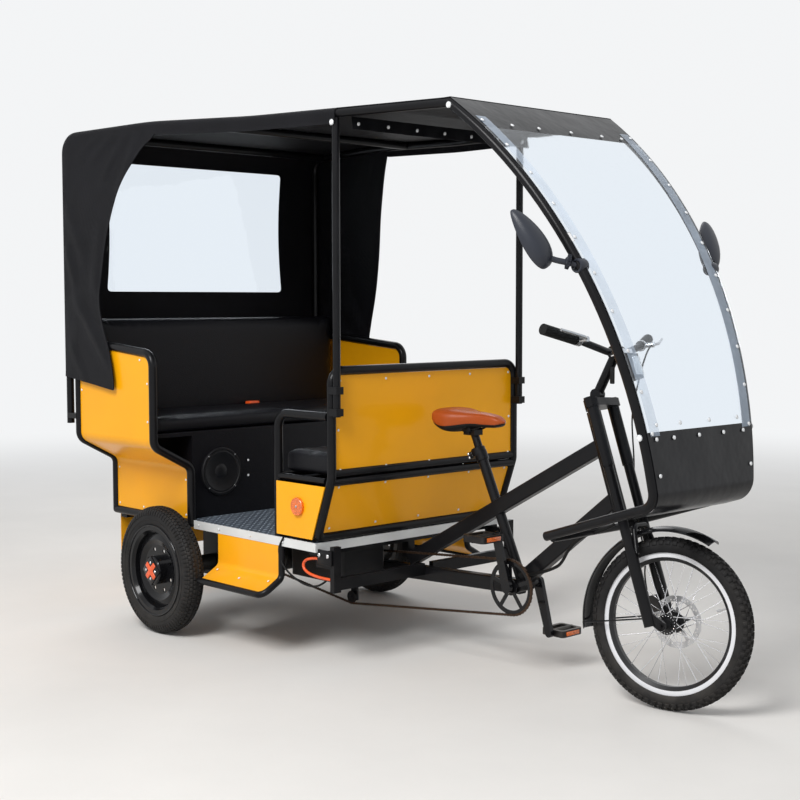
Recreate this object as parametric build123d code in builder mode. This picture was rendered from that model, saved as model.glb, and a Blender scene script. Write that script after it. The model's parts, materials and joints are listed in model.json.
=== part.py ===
"""Passenger tricycle with a canopy and a curved windscreen, millimetres.

X runs forward, Y to the rider's left and Z up. The origin lies on the ground, under
the middle of the length and of the width. The front wheel is parked turned to the left.
"""

import os
from math import cos, atan2, pi, radians, sin, sqrt, tan

from build123d import *

# Driving dimensions: wheels and stance
WHEELBASE = 1853
HALF_TRACK = 527
REAR_TYRE_R = 231
REAR_TYRE_W = 78
REAR_RIM_R = 165
REAR_BEAD_R = 151
FRONT_TYRE_R = 255
FRONT_TYRE_W = 56
FRONT_RIM_R = 210
FRONT_BEAD_R = 203
PARK_ANGLE = 11.4
RAKE = 19.3
AXLE_LEAD = 69
FIT = 0.3
RUNNING_GAP = 5

# Canopy: its front stands over the front wheel, and its roof rises towards the rear
ROOF_Z = 1784
ROOF_FRONT = WHEELBASE - 533
ROOF_REAR = -480
ROOF_RUN = [(ROOF_FRONT, ROOF_Z), (500, ROOF_Z + 14), (0, ROOF_Z + 37), (ROOF_REAR, ROOF_Z + 30)]
ROOF_FRONT_HALF = 375
CANOPY_TUBE = 28
FABRIC = 3


def tyre_reach(radius, width, axle_x):
    """How far a leaning tyre reaches from its centre along X, for this share of X in its axle."""
    ring = radius - width / 2
    return ring * sqrt(1 - axle_x**2) + width / 2


PARK = radians(PARK_ANGLE)
TILT = radians(RAKE)
FRONT_REACH = WHEELBASE + tyre_reach(FRONT_TYRE_R, FRONT_TYRE_W, sin(PARK) * cos(TILT))
REAR_REACH = -ROOF_REAR + CANOPY_TUBE / 2 + FIT + FABRIC
MID_LENGTH = (FRONT_REACH - REAR_REACH) / 2


def ahead(distance):
    """X of a point this far ahead of the rear axle."""
    return distance - MID_LENGTH


# Steering frame: its Z is the steering axis, its X points ahead, the wheel's centre is at Z 0
FRONT_WHEEL_Z = tyre_reach(FRONT_TYRE_R, FRONT_TYRE_W, sin(PARK) * sin(TILT))
STEER_X = ahead(WHEELBASE) - AXLE_LEAD * cos(PARK) * cos(TILT)
STEER_Z = FRONT_WHEEL_Z - AXLE_LEAD * cos(PARK) * sin(TILT)
AXIS_UP = (-sin(TILT), 0, cos(TILT))
STEER = Plane(
    origin=(STEER_X, 0, STEER_Z),
    x_dir=(cos(PARK) * cos(TILT), sin(PARK), cos(PARK) * sin(TILT)),
    z_dir=AXIS_UP,
)


def along_axis(s, forward=0):
    """A point in the plane of symmetry, s up the steering axis and this far in front of it."""
    return (STEER_X - s * sin(TILT) + forward * cos(TILT), 0, STEER_Z + s * cos(TILT) + forward * sin(TILT))


# Body: floor, walls and seats
FLOOR_Z = 412
FLOOR_REAR = 80
FLOOR_FRONT = 777
FLOOR_HALF = 445
FLOOR_SHEET = 4
TRIM_HEIGHT = 30
TRIM_SHEET = 3
BODY_TUBE = 30
PANEL = 4
BODY_REAR = -419
LOWER_HALF = 448
UPPER_HALF = 605
WAIST_LOW = 604
WAIST_HIGH = 688
RAIL_FRONT_Z = 1015
RAIL_REAR_Z = 1058
WALL_X = 845
WALL_HALF = 432
WALL_TOP = 977
WALL_KNEE = 630
WALL_FOOT_X = 772
WALL_FOOT_Z = 428

# Frame tubes
MAIN_H = 48
MAIN_W = 38
BRACKET_X = 1285
BRACKET_Z = 288
HEAD_LOW = 355
HEAD_HIGH = 668
CRANK_LENGTH = 170
CRANK_ANGLE = 106

os.makedirs("parts", exist_ok=True)


def save(part, node):
    """Label a finished piece and write it to its own file."""
    part.label = node
    export_step(part, f"parts/{node}.step")


def tube(points, diameter, radii=None, closed=False):
    """A round bar along straight runs joined by arcs, added to the part being built."""
    with BuildLine() as route:
        if radii is None:
            Polyline(*points)
        else:
            FilletPolyline(*points, radius=radii, close=closed)
    with BuildSketch(Plane(origin=route.line @ 0, z_dir=route.line % 0)) as ring:
        Circle(diameter / 2)
    sweep(ring.sketch, path=route.line)


def cord_radii(points):
    """The radius of each bend: 0.45 of the shorter run beside it over the tangent of half the turn."""
    radii = []
    for before, here, after in zip(points, points[1:], points[2:]):
        run, following = Vector(*here) - Vector(*before), Vector(*after) - Vector(*here)
        half_turn = radians(run.get_angle(following)) / 2
        radii.append(round(0.45 * min(run.length, following.length) / tan(half_turn), 1))
    return radii


def rod(start, end, diameter, mode=Mode.ADD):
    """A straight round bar between two points."""
    run = Vector(*end) - Vector(*start)
    with BuildSketch(Plane(origin=start, z_dir=run)) as ring:
        Circle(diameter / 2)
    extrude(ring.sketch, amount=run.length, mode=mode)


def square_bar(start, end, height, width):
    """A rectangular tube from start to end, its height in the upright plane through it."""
    run = Vector(*end) - Vector(*start)
    with BuildSketch(Plane(origin=start, x_dir=run.cross(Vector(0, 0, 1)), z_dir=run)) as profile:
        RectangleRounded(width, height, 5)
    extrude(profile.sketch, amount=run.length)


def slab(low, high, mode=Mode.ADD):
    """A square-edged block between two corners."""
    with Locations(tuple((a + b) / 2 for a, b in zip(low, high))):
        Box(*(b - a for a, b in zip(low, high)), mode=mode)


def tyre_section(radius, width, bead_r, rim_r, bead_half):
    """A tyre's section in flats: beads inside the rim, bulged walls and a crowned tread."""
    half = width / 2
    with BuildLine() as outline:
        Polyline(
            (0, radius),
            (0, bead_r + FIT),
            (bead_half, bead_r + FIT),
            (bead_half, rim_r + 2),
            (half * 0.96, (rim_r + radius) / 2 - half * 0.3),
            (half, (rim_r + radius) / 2),
            (half * 0.94, radius - half * 0.42),
            (half * 0.7, radius - half * 0.16),
            (half * 0.34, radius),
            close=True,
        )
    make_face(outline.line.edges())
    mirror(about=Plane.YZ)


# Rear wheels: tyre, and a pressed steel wheel with its hub cap and half shaft
SIDES = ((-1, "right"), (1, "left"))
RIM_HALF = 34
FLANGE = 4
DISC_AT = 4
HUB_CAP_R = 52
HUB_IN = 70
SHAFT_R = 14
SHAFT_IN = 150
for side, word in SIDES:
    # The section plane's X runs outwards along the axle and its Y up
    section = Plane(
        origin=(ahead(0), side * HALF_TRACK, REAR_TYRE_R), x_dir=(0, side, 0), z_dir=(side, 0, 0)
    )
    axle = Axis(section.origin, section.x_dir)

    with BuildPart() as rear_tyre:
        with BuildSketch(section):
            tyre_section(REAR_TYRE_R, REAR_TYRE_W, REAR_BEAD_R, REAR_RIM_R, RIM_HALF - FLANGE - FIT)
        revolve(axis=axle)
    save(rear_tyre.part, f"rear_tyre_{word}")

    with BuildPart() as rear_wheel:
        with BuildSketch(section):
            with BuildLine():
                Polyline(
                    (RIM_HALF, REAR_RIM_R),
                    (RIM_HALF, REAR_BEAD_R - 6),
                    (RIM_HALF - 12, REAR_BEAD_R - 14),
                    (DISC_AT + 5, REAR_BEAD_R - 14),
                    (DISC_AT + 14, REAR_BEAD_R - 40),
                    (DISC_AT + 5, REAR_BEAD_R - 62),
                    (DISC_AT + 5, HUB_CAP_R),
                    (38, HUB_CAP_R),
                    (42, HUB_CAP_R - 4),
                    (42, 0),
                    (-HUB_IN, 0),
                    (-HUB_IN, 34),
                    (DISC_AT, 34),
                    (DISC_AT, REAR_BEAD_R - 62),
                    (DISC_AT + 9, REAR_BEAD_R - 40),
                    (DISC_AT, REAR_BEAD_R - 18),
                    (-RIM_HALF, REAR_BEAD_R - 6),
                    (-RIM_HALF, REAR_RIM_R),
                    (-RIM_HALF + FLANGE, REAR_RIM_R),
                    (-RIM_HALF + FLANGE, REAR_BEAD_R),
                    (RIM_HALF - FLANGE, REAR_BEAD_R),
                    (RIM_HALF - FLANGE, REAR_RIM_R),
                    close=True,
                )
            make_face()
        revolve(axis=axle)
        rod(section.origin - section.x_dir * (HUB_IN + SHAFT_IN), section.origin, 2 * SHAFT_R)
        with BuildSketch(Plane(origin=section.origin, z_dir=section.x_dir)) as holes:
            with PolarLocations(REAR_BEAD_R - 75, 8, start_angle=22):
                Circle(7)
        extrude(holes.sketch, amount=30, mode=Mode.SUBTRACT)
    save(rear_wheel.part, f"rear_wheel_{word}")

# Rear axle: a tube with a drive housing and the chain's sprocket, and the motor ahead of it
AXLE_TUBE = 60
AXLE_END = HALF_TRACK - HUB_IN - RUNNING_GAP
DRIVE_Y = -60
DRIVE_R = 75
DRIVE_LEFT = 140
SPROCKET_R = 46
MOTOR_AHEAD = 150
MOTOR_R = 62
with BuildPart() as rear_axle:
    rod((ahead(0), -AXLE_END, REAR_TYRE_R), (ahead(0), AXLE_END, REAR_TYRE_R), AXLE_TUBE)
    rod((ahead(0), 0, REAR_TYRE_R), (ahead(0), DRIVE_LEFT, REAR_TYRE_R), 2 * DRIVE_R)
    rod((ahead(0), DRIVE_Y - 2, REAR_TYRE_R), (ahead(0), DRIVE_Y + 2, REAR_TYRE_R), 2 * SPROCKET_R)
    for side, word in SIDES:
        rod(
            (ahead(0), side * (AXLE_END + 1), REAR_TYRE_R),
            (ahead(0), side * (AXLE_END - SHAFT_IN), REAR_TYRE_R),
            2 * SHAFT_R + 2,
            Mode.SUBTRACT,
        )
save(rear_axle.part, "rear_axle")

with BuildPart() as drive_motor:
    rod(
        (ahead(MOTOR_AHEAD), 5, REAR_TYRE_R + 15),
        (ahead(MOTOR_AHEAD), DRIVE_LEFT, REAR_TYRE_R + 15),
        2 * MOTOR_R,
    )
    slab((ahead(40), 20, REAR_TYRE_R - 25), (ahead(MOTOR_AHEAD), 120, REAR_TYRE_R + 45))
    rod(
        (ahead(0), -5, REAR_TYRE_R),
        (ahead(0), DRIVE_LEFT + 5, REAR_TYRE_R),
        2 * DRIVE_R + 2 * FIT,
        Mode.SUBTRACT,
    )
save(drive_motor.part, "drive_motor")

# Underframe: two long rails, cross members, and hangers down to the axle
RAIL_Y = 300
RAIL_TOP = FLOOR_Z - FLOOR_SHEET - FIT
RAIL_H = 45
RAIL_W = 40
HANGER_W = 12
CROSS_W = 40
CROSS_H = 40
CROSS_HALF = LOWER_HALF - BODY_TUBE / 2 - FIT
CROSS_STATIONS = (BODY_REAR + 23, -60, 250, 560, FLOOR_FRONT - 28)
# Outriggers under the wall's foot: arm, upright plate and cross arm, low and high corners
PLATE_REAR = FLOOR_FRONT + 55
PLATE_FRONT = PLATE_REAR + 20
OUTRIGGER = [
    ((FLOOR_FRONT - 37, 397, RAIL_TOP - CROSS_H - 42), (PLATE_REAR + 5, 413, RAIL_TOP - CROSS_H + 7)),
    ((PLATE_REAR, 400, 255), (PLATE_FRONT, 430, 405)),
    ((PLATE_REAR, MAIN_W / 2 + FIT, 262), (PLATE_FRONT, 430, 302)),
]
with BuildPart() as underframe:
    for side, word in SIDES:
        slab(
            (ahead(BODY_REAR + 23), side * RAIL_Y - RAIL_W / 2, RAIL_TOP - RAIL_H),
            (ahead(FLOOR_FRONT - 28), side * RAIL_Y + RAIL_W / 2, RAIL_TOP),
        )
        slab(
            (ahead(-50), side * RAIL_Y - HANGER_W / 2, REAR_TYRE_R - 50),
            (ahead(50), side * RAIL_Y + HANGER_W / 2, RAIL_TOP - 10),
        )
    for x in CROSS_STATIONS:
        slab(
            (ahead(x) - CROSS_W / 2, -CROSS_HALF, RAIL_TOP - CROSS_H),
            (ahead(x) + CROSS_W / 2, CROSS_HALF, RAIL_TOP),
        )
    rod(
        (ahead(0), -RAIL_Y - HANGER_W, REAR_TYRE_R),
        (ahead(0), RAIL_Y + HANGER_W, REAR_TYRE_R),
        AXLE_TUBE + 2 * FIT,
        Mode.SUBTRACT,
    )
    for side, word in SIDES:
        for low, high in OUTRIGGER:
            (rear, inner, bottom), (front, outer, top) = low, high
            slab(
                (ahead(rear), min(side * inner, side * outer), bottom),
                (ahead(front), max(side * inner, side * outer), top),
            )
save(underframe.part, "underframe")

# Floor: tread plate, narrow between the side frames' feet, and its pale edge trim
FOOT_FRONT = FLOOR_REAR + BODY_TUBE / 2 + FIT
with BuildPart() as floor_plate:
    slab((ahead(0), -CROSS_HALF, FLOOR_Z - FLOOR_SHEET), (ahead(FLOOR_FRONT), CROSS_HALF, FLOOR_Z))
    slab((ahead(FOOT_FRONT), -FLOOR_HALF, FLOOR_Z - FLOOR_SHEET), (ahead(FLOOR_FRONT), FLOOR_HALF, FLOOR_Z))
save(floor_plate.part, "floor_plate")

TRIM_IN = FLOOR_HALF + FIT
with BuildPart() as floor_trim:
    slab(
        (ahead(FOOT_FRONT), -TRIM_IN - TRIM_SHEET, FLOOR_Z - TRIM_HEIGHT),
        (ahead(FLOOR_FRONT) + FIT + TRIM_SHEET, TRIM_IN + TRIM_SHEET, FLOOR_Z),
    )
    slab(
        (ahead(FOOT_FRONT) - 1, -TRIM_IN, FLOOR_Z - TRIM_HEIGHT - 1),
        (ahead(FLOOR_FRONT) + FIT, TRIM_IN, FLOOR_Z + 1),
        Mode.SUBTRACT,
    )
save(floor_trim.part, "floor_trim")

# Rear body: each side a tube loop with a stepped sheet inside it
KNEE_R = 40
CORNER_R = 50
BOTTOM_RAIL_Z = 400
PANEL_BOTTOM = BOTTOM_RAIL_Z + BODY_TUBE / 2 + FIT
PANEL_FRONT = FLOOR_REAR - BODY_TUBE / 2 - FIT
PANEL_REAR = BODY_REAR + BODY_TUBE / 2 + FIT


def rail_z(distance):
    """Height of the side frames' top rail this far ahead of the rear axle."""
    return RAIL_FRONT_Z + (FLOOR_REAR - distance) * (RAIL_REAR_Z - RAIL_FRONT_Z) / (FLOOR_REAR - BODY_REAR)


for side, word in SIDES:
    low, high = side * LOWER_HALF, side * UPPER_HALF
    front, rear = ahead(FLOOR_REAR), ahead(BODY_REAR)
    with BuildPart() as side_frame:
        tube(
            [
                (front, low, BOTTOM_RAIL_Z),
                (front, low, WAIST_LOW),
                (front, high, WAIST_HIGH),
                (front, high, RAIL_FRONT_Z),
                (rear, high, RAIL_REAR_Z),
                (rear, high, WAIST_HIGH),
                (rear, low, WAIST_LOW),
                (rear, low, BOTTOM_RAIL_Z),
            ],
            BODY_TUBE,
            [KNEE_R, KNEE_R, CORNER_R, CORNER_R, KNEE_R, KNEE_R],
        )
        rod((front, low, BOTTOM_RAIL_Z), (rear, low, BOTTOM_RAIL_Z), BODY_TUBE)
        for x in (front, rear):
            with Locations((x, low, BOTTOM_RAIL_Z)):
                Sphere(BODY_TUBE / 2)
    save(side_frame.part, f"side_frame_{word}")

    with BuildPart() as side_panel:
        with BuildSketch(Plane(origin=(ahead(PANEL_REAR), 0, 0), x_dir=(0, 1, 0), z_dir=(1, 0, 0))):
            with BuildLine():
                FilletPolyline(
                    (low, PANEL_BOTTOM), (low, WAIST_LOW), (high, WAIST_HIGH), (high, RAIL_REAR_Z),
                    radius=KNEE_R,
                )
                offset(amount=PANEL, side=Side.RIGHT if side > 0 else Side.LEFT)
            make_face()
        extrude(amount=PANEL_FRONT - PANEL_REAR)
        with BuildSketch(Plane.XZ) as outline:
            with BuildLine():
                top = -BODY_TUBE / 2 - 2 * FIT
                Polyline(
                    (ahead(PANEL_REAR), PANEL_BOTTOM),
                    (ahead(PANEL_FRONT), PANEL_BOTTOM),
                    (ahead(PANEL_FRONT), rail_z(PANEL_FRONT) + top),
                    (ahead(PANEL_REAR), rail_z(PANEL_REAR) + top),
                    close=True,
                )
            make_face()
            fillet(outline.vertices().sort_by(Axis.Y)[-2:], CORNER_R - BODY_TUBE / 2)
        extrude(outline.sketch, amount=UPPER_HALF + 50, both=True, mode=Mode.INTERSECT)
    save(side_panel.part, f"side_panel_{word}")


def facing_front(distance, nudge=0):
    """A plane across the tricycle here, moved by the nudge and seen from the front."""
    return Plane(origin=(ahead(distance) + nudge, 0, 0), x_dir=(0, 1, 0), z_dir=(1, 0, 0))


# Back of the body: a sheet between the rear tubes, and a valance below it
BACK_GAP = BODY_TUBE / 2 + FIT
with BuildPart() as rear_panel:
    with BuildSketch(facing_front(BODY_REAR, -PANEL / 2)) as sheet:
        with BuildLine():
            Polyline(
                (0, PANEL_BOTTOM),
                (LOWER_HALF - BACK_GAP, PANEL_BOTTOM),
                (LOWER_HALF - BACK_GAP, WAIST_LOW + 12),
                (UPPER_HALF - BACK_GAP, WAIST_HIGH + 12),
                (UPPER_HALF - BACK_GAP, RAIL_REAR_Z - 40),
                (0, RAIL_REAR_Z - 40),
                close=True,
            )
        make_face()
        mirror(about=Plane.YZ)
        fillet(sheet.vertices().group_by(Axis.X)[0].sort_by(Axis.Y)[0:1], KNEE_R - BODY_TUBE / 2)
        fillet(sheet.vertices().group_by(Axis.X)[-1].sort_by(Axis.Y)[0:1], KNEE_R - BODY_TUBE / 2)
    extrude(amount=PANEL)
save(rear_panel.part, "rear_panel")

VALANCE_BOTTOM = 228
VALANCE_SHEET = 3
with BuildPart() as rear_valance:
    slab(
        (ahead(BODY_REAR) - FIT, -LOWER_HALF + BACK_GAP, VALANCE_BOTTOM),
        (ahead(BODY_REAR) + VALANCE_SHEET - FIT, LOWER_HALF - BACK_GAP, RAIL_TOP),
    )
save(rear_valance.part, "rear_valance")

# Bench: hollow box, speakers, cushion and backrest
BENCH_FRONT = 60
BENCH_REAR = -300
BENCH_TOP = 730
BENCH_BOARD = 15
BENCH_HALF = LOWER_HALF - PANEL - FIT
BENCH_SIDE = BENCH_HALF - 15
SPEAKER_R = 88
SPEAKER_Y = 302
SPEAKER_Z = 576
CUSHION_TOP = 783
BACKREST_TOP = 1150
BACK_FRONT = BODY_REAR + 92
CUSHION_HALF = UPPER_HALF - 20
with BuildPart() as bench_box:
    slab((ahead(BENCH_REAR), -BENCH_SIDE, FLOOR_Z + FIT), (ahead(BENCH_FRONT), BENCH_SIDE, BENCH_TOP))
    slab(
        (ahead(BENCH_REAR) - 1, -BENCH_HALF + 30, FLOOR_Z),
        (ahead(BENCH_FRONT - BENCH_BOARD), BENCH_HALF - 30, BENCH_TOP - BENCH_BOARD),
        Mode.SUBTRACT,
    )
    slab(
        (ahead(PANEL_REAR), -UPPER_HALF + PANEL + FIT, BENCH_TOP - BENCH_BOARD),
        (ahead(BENCH_FRONT), UPPER_HALF - PANEL - FIT, BENCH_TOP),
    )
    for side, word in SIDES:
        rod(
            (ahead(BENCH_FRONT - 30), side * SPEAKER_Y, SPEAKER_Z),
            (ahead(BENCH_FRONT + 1), side * SPEAKER_Y, SPEAKER_Z),
            2 * SPEAKER_R - 20,
            Mode.SUBTRACT,
        )
save(bench_box.part, "bench_box")

with BuildPart() as speakers:
    for side, word in SIDES:
        middle = (ahead(BENCH_FRONT) + FIT, side * SPEAKER_Y, SPEAKER_Z)
        with BuildSketch(Plane(origin=middle, x_dir=(0, 1, 0), z_dir=(0, 0, 1))) as cone:
            with BuildLine():
                Polyline(
                    (0, 0),
                    (SPEAKER_R, 0),
                    (SPEAKER_R, -6),
                    (SPEAKER_R - 8, -10),
                    (SPEAKER_R - 16, -8),
                    (30, -2),
                    (0, -2),
                    close=True,
                )
            make_face()
        revolve(cone.sketch, axis=Axis(middle, (1, 0, 0)))
save(speakers.part, "speakers")

with BuildPart() as bench_cushion:
    slab(
        (ahead(BACK_FRONT) + 5, -CUSHION_HALF, BENCH_TOP + FIT),
        (ahead(BENCH_FRONT) + 5, CUSHION_HALF, CUSHION_TOP),
    )
    fillet(bench_cushion.edges().filter_by(Axis.Y).group_by(Axis.Z)[-1], 14)
save(bench_cushion.part, "bench_cushion")

with BuildPart() as bench_backrest:
    slab(
        (ahead(BODY_REAR) + PANEL / 2 + FIT, -CUSHION_HALF, BENCH_TOP + FIT),
        (ahead(BACK_FRONT), CUSHION_HALF, BACKREST_TOP),
    )
    fillet(bench_backrest.edges().filter_by(Axis.Y).group_by(Axis.Z)[-1], 20)
save(bench_backrest.part, "bench_backrest")

# Partition wall: a tube loop that kicks back at the knee, two middle rails, two sheets
WALL_CORNER_R = 45
MID_RAIL = 26
MID_RAIL_APART = 28
LEAN = atan2(WALL_X - WALL_FOOT_X, WALL_KNEE - WALL_FOOT_Z)
with BuildPart() as wall_frame:
    for side, word in SIDES:
        tube(
            [
                (ahead(WALL_FOOT_X), 0, WALL_FOOT_Z),
                (ahead(WALL_FOOT_X), side * WALL_HALF, WALL_FOOT_Z),
                (ahead(WALL_X), side * WALL_HALF, WALL_KNEE),
                (ahead(WALL_X), side * WALL_HALF, WALL_TOP),
                (ahead(WALL_X), 0, WALL_TOP),
            ],
            BODY_TUBE,
            [20, 60, WALL_CORNER_R],
        )
    for step in (-1, 1):
        z = WALL_KNEE + step * MID_RAIL_APART / 2
        rod((ahead(WALL_X) - 1, -WALL_HALF, z), (ahead(WALL_X) - 1, WALL_HALF, z), MID_RAIL)
save(wall_frame.part, "wall_frame")

SHEET_HALF = WALL_HALF - BODY_TUBE / 2 - FIT
RAIL_REACH = MID_RAIL_APART / 2 + MID_RAIL / 2 + FIT
SLOPE_RUN = (WALL_KNEE - RAIL_REACH - WALL_FOOT_Z - BODY_TUBE / 2 - 1) / cos(LEAN)
with BuildPart() as wall_panels:
    with BuildSketch(facing_front(WALL_X, -PANEL / 2)) as upper:
        bottom, top = WALL_KNEE + RAIL_REACH, WALL_TOP - BODY_TUBE / 2 - FIT
        with Locations((0, (bottom + top) / 2)):
            Rectangle(2 * SHEET_HALF, top - bottom)
        fillet(upper.vertices().group_by(Axis.Y)[-1], WALL_CORNER_R - BODY_TUBE / 2)
    extrude(upper.sketch, amount=PANEL)
    foot = (ahead(WALL_FOOT_X) + 16 * sin(LEAN) - PANEL / 2, 0, WALL_FOOT_Z + 16 * cos(LEAN) + 1)
    with BuildSketch(Plane(origin=foot, x_dir=(0, 1, 0), z_dir=(cos(LEAN), 0, -sin(LEAN)))) as lower:
        with Locations((0, SLOPE_RUN / 2)):
            Rectangle(2 * SHEET_HALF, SLOPE_RUN)
        fillet(lower.vertices(), 8)
    extrude(lower.sketch, amount=PANEL)
save(wall_panels.part, "wall_panels")

# Rear-facing seat against the wall: rails, box and cushion
JUMP_REAR = 570
JUMP_RAIL_Z = 828
JUMP_BOARD_Z = 628
JUMP_CUSHION_TOP = 700
SEAT_SHEET = [(581, FLOOR_Z + 11), (765, FLOOR_Z + 11), (831, JUMP_BOARD_Z - 26), (581, JUMP_BOARD_Z - 26)]
with BuildPart() as jump_seat_rails:
    for side, word in SIDES:
        tube(
            [
                (ahead(JUMP_REAR), side * WALL_HALF, FLOOR_Z + FIT),
                (ahead(JUMP_REAR), side * WALL_HALF, JUMP_RAIL_Z),
                (ahead(WALL_X) - BODY_TUBE / 2 - FIT, side * WALL_HALF, JUMP_RAIL_Z),
            ],
            BODY_TUBE,
            [CORNER_R],
        )
        rod(
            (ahead(JUMP_REAR), side * WALL_HALF, JUMP_BOARD_Z - 11),
            (ahead(WALL_X) - 28, side * WALL_HALF, JUMP_BOARD_Z - 11),
            22,
        )
    rod(
        (ahead(JUMP_REAR), -WALL_HALF, JUMP_BOARD_Z - 11),
        (ahead(JUMP_REAR), WALL_HALF, JUMP_BOARD_Z - 11),
        22,
    )
save(jump_seat_rails.part, "jump_seat_rails")

SIDE_SHEET_Y = WALL_HALF + BODY_TUBE / 2 + FIT
with BuildPart() as seat_box_sides:
    for side, word in SIDES:
        with BuildSketch(Plane.XZ.offset(-side * SIDE_SHEET_Y - (PANEL if side > 0 else 0))) as sheet:
            with BuildLine():
                Polyline([(ahead(x), z) for x, z in SEAT_SHEET], close=True)
            make_face()
        extrude(sheet.sketch, amount=PANEL)
save(seat_box_sides.part, "seat_box_sides")

with BuildPart() as seat_box:
    slab(
        (ahead(JUMP_REAR) + BODY_TUBE / 2 - 8, -WALL_HALF + BODY_TUBE / 2 + FIT, FLOOR_Z + FIT),
        (ahead(JUMP_REAR) + BODY_TUBE / 2 - 2, WALL_HALF - BODY_TUBE / 2 - FIT, JUMP_BOARD_Z - 24),
    )
save(seat_box.part, "seat_box")

with BuildPart() as jump_seat_cushion:
    slab(
        (ahead(JUMP_REAR) - 5, -WALL_HALF + BODY_TUBE / 2 + 3, JUMP_BOARD_Z + FIT),
        (ahead(WALL_X) - BODY_TUBE / 2 - 3, WALL_HALF - BODY_TUBE / 2 - 3, JUMP_CUSHION_TOP),
    )
    fillet(jump_seat_cushion.edges().filter_by(Axis.Y).group_by(Axis.Z)[-1], 15)
save(jump_seat_cushion.part, "jump_seat_cushion")

with BuildPart() as reflectors:
    for side, word in SIDES:
        y = side * (SIDE_SHEET_Y + PANEL + FIT)
        rod((ahead(697), y, 526), (ahead(697), y + side * 9, 526), 58)
save(reflectors.part, "reflectors")

# Steps below the floor: a sheet that kicks outwards, and its tube rim
STEP_REAR = 240
STEP_FRONT = 589
STEP_Y = 446.5
STEP_KNEE_Z = 272
STEP_LIP_Y = 518
STEP_LIP_Z = 230
STEP_RIM = 22
for side, word in SIDES:
    with BuildPart() as step:
        across = Plane(origin=(ahead(STEP_REAR), 0, 0), x_dir=(0, side, 0), z_dir=(side, 0, 0))
        with BuildSketch(across) as profile:
            with BuildLine():
                FilletPolyline(
                    (STEP_Y, FLOOR_Z - TRIM_HEIGHT - FIT),
                    (STEP_Y, STEP_KNEE_Z),
                    (STEP_LIP_Y, STEP_LIP_Z),
                    radius=25,
                )
                offset(amount=3, side=Side.RIGHT)
            make_face()
        extrude(profile.sketch, amount=side * (STEP_FRONT - STEP_REAR))
        with BuildSketch() as corner:
            with BuildLine() as outline:
                Polyline(
                    (ahead(STEP_FRONT + 1), side * (STEP_LIP_Y - 25)),
                    (ahead(STEP_FRONT + 1), side * (STEP_LIP_Y + 5)),
                    (ahead(STEP_FRONT - 25), side * (STEP_LIP_Y + 5)),
                    close=True,
                )
            make_face(outline.line.edges())
        extrude(corner.sketch, amount=FLOOR_Z, mode=Mode.SUBTRACT)
    save(step.part, f"step_{word}")

with BuildPart() as step_rims:
    for side, word in SIDES:
        lip = side * (STEP_LIP_Y + STEP_RIM / 2 + FIT)
        tube(
            [
                (ahead(STEP_FRONT) + STEP_RIM / 2 + FIT, side * STEP_Y, FLOOR_Z - TRIM_HEIGHT - FIT),
                (ahead(STEP_FRONT) + STEP_RIM / 2 + FIT, side * STEP_Y, STEP_KNEE_Z),
                (ahead(STEP_FRONT) + STEP_RIM / 2 + FIT, lip, STEP_LIP_Z - 6),
                (ahead(STEP_REAR), lip, STEP_LIP_Z - 6),
            ],
            STEP_RIM,
            [30, 30],
        )
save(step_rims.part, "step_rims")

# Canopy posts, clamped in front of the wall's uprights
POST = 25
POST_X = WALL_X + BODY_TUBE / 2 + POST / 2 + FIT
POST_FOOT = 830
POST_CLAMP_HALF = 15
POST_CLAMP_H = 24
ROOF_REAR_HALF = UPPER_HALF + 2.6
ROOF_SPLAY = (ROOF_REAR_HALF - ROOF_FRONT_HALF) / (ROOF_FRONT - ROOF_REAR)


def roof_half(distance):
    """Half width between the roof's side tubes this far ahead of the rear axle."""
    return ROOF_FRONT_HALF + (ROOF_FRONT - distance) * ROOF_SPLAY


def roof_z(distance):
    """Height of the roof tubes' middle lines this far ahead of the rear axle."""
    for (front, front_z), (rear, rear_z) in zip(ROOF_RUN, ROOF_RUN[1:]):
        if distance >= rear:
            break
    return front_z + (rear_z - front_z) * (front - distance) / (front - rear)


POST_Y = roof_half(POST_X)
with BuildPart() as canopy_posts:
    for side, word in SIDES:
        rod(
            (ahead(POST_X), side * POST_Y, POST_FOOT),
            (ahead(POST_X), side * POST_Y, roof_z(POST_X) - CANOPY_TUBE / 2 - FIT),
            POST,
        )
        for z in (POST_FOOT + 15, POST_FOOT + 85):
            slab(
                (ahead(WALL_X) + PANEL / 2 + FIT, side * POST_Y - POST_CLAMP_HALF, z - POST_CLAMP_H / 2),
                (ahead(POST_X) + POST / 2 + 3, side * POST_Y + POST_CLAMP_HALF, z + POST_CLAMP_H / 2),
            )
    for side, word in SIDES:
        rod(
            (ahead(WALL_X), side * WALL_HALF, POST_FOOT - 10),
            (ahead(WALL_X), side * WALL_HALF, WALL_TOP - WALL_CORNER_R),
            BODY_TUBE + 2 * FIT,
            Mode.SUBTRACT,
        )
save(canopy_posts.part, "canopy_posts")

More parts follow.
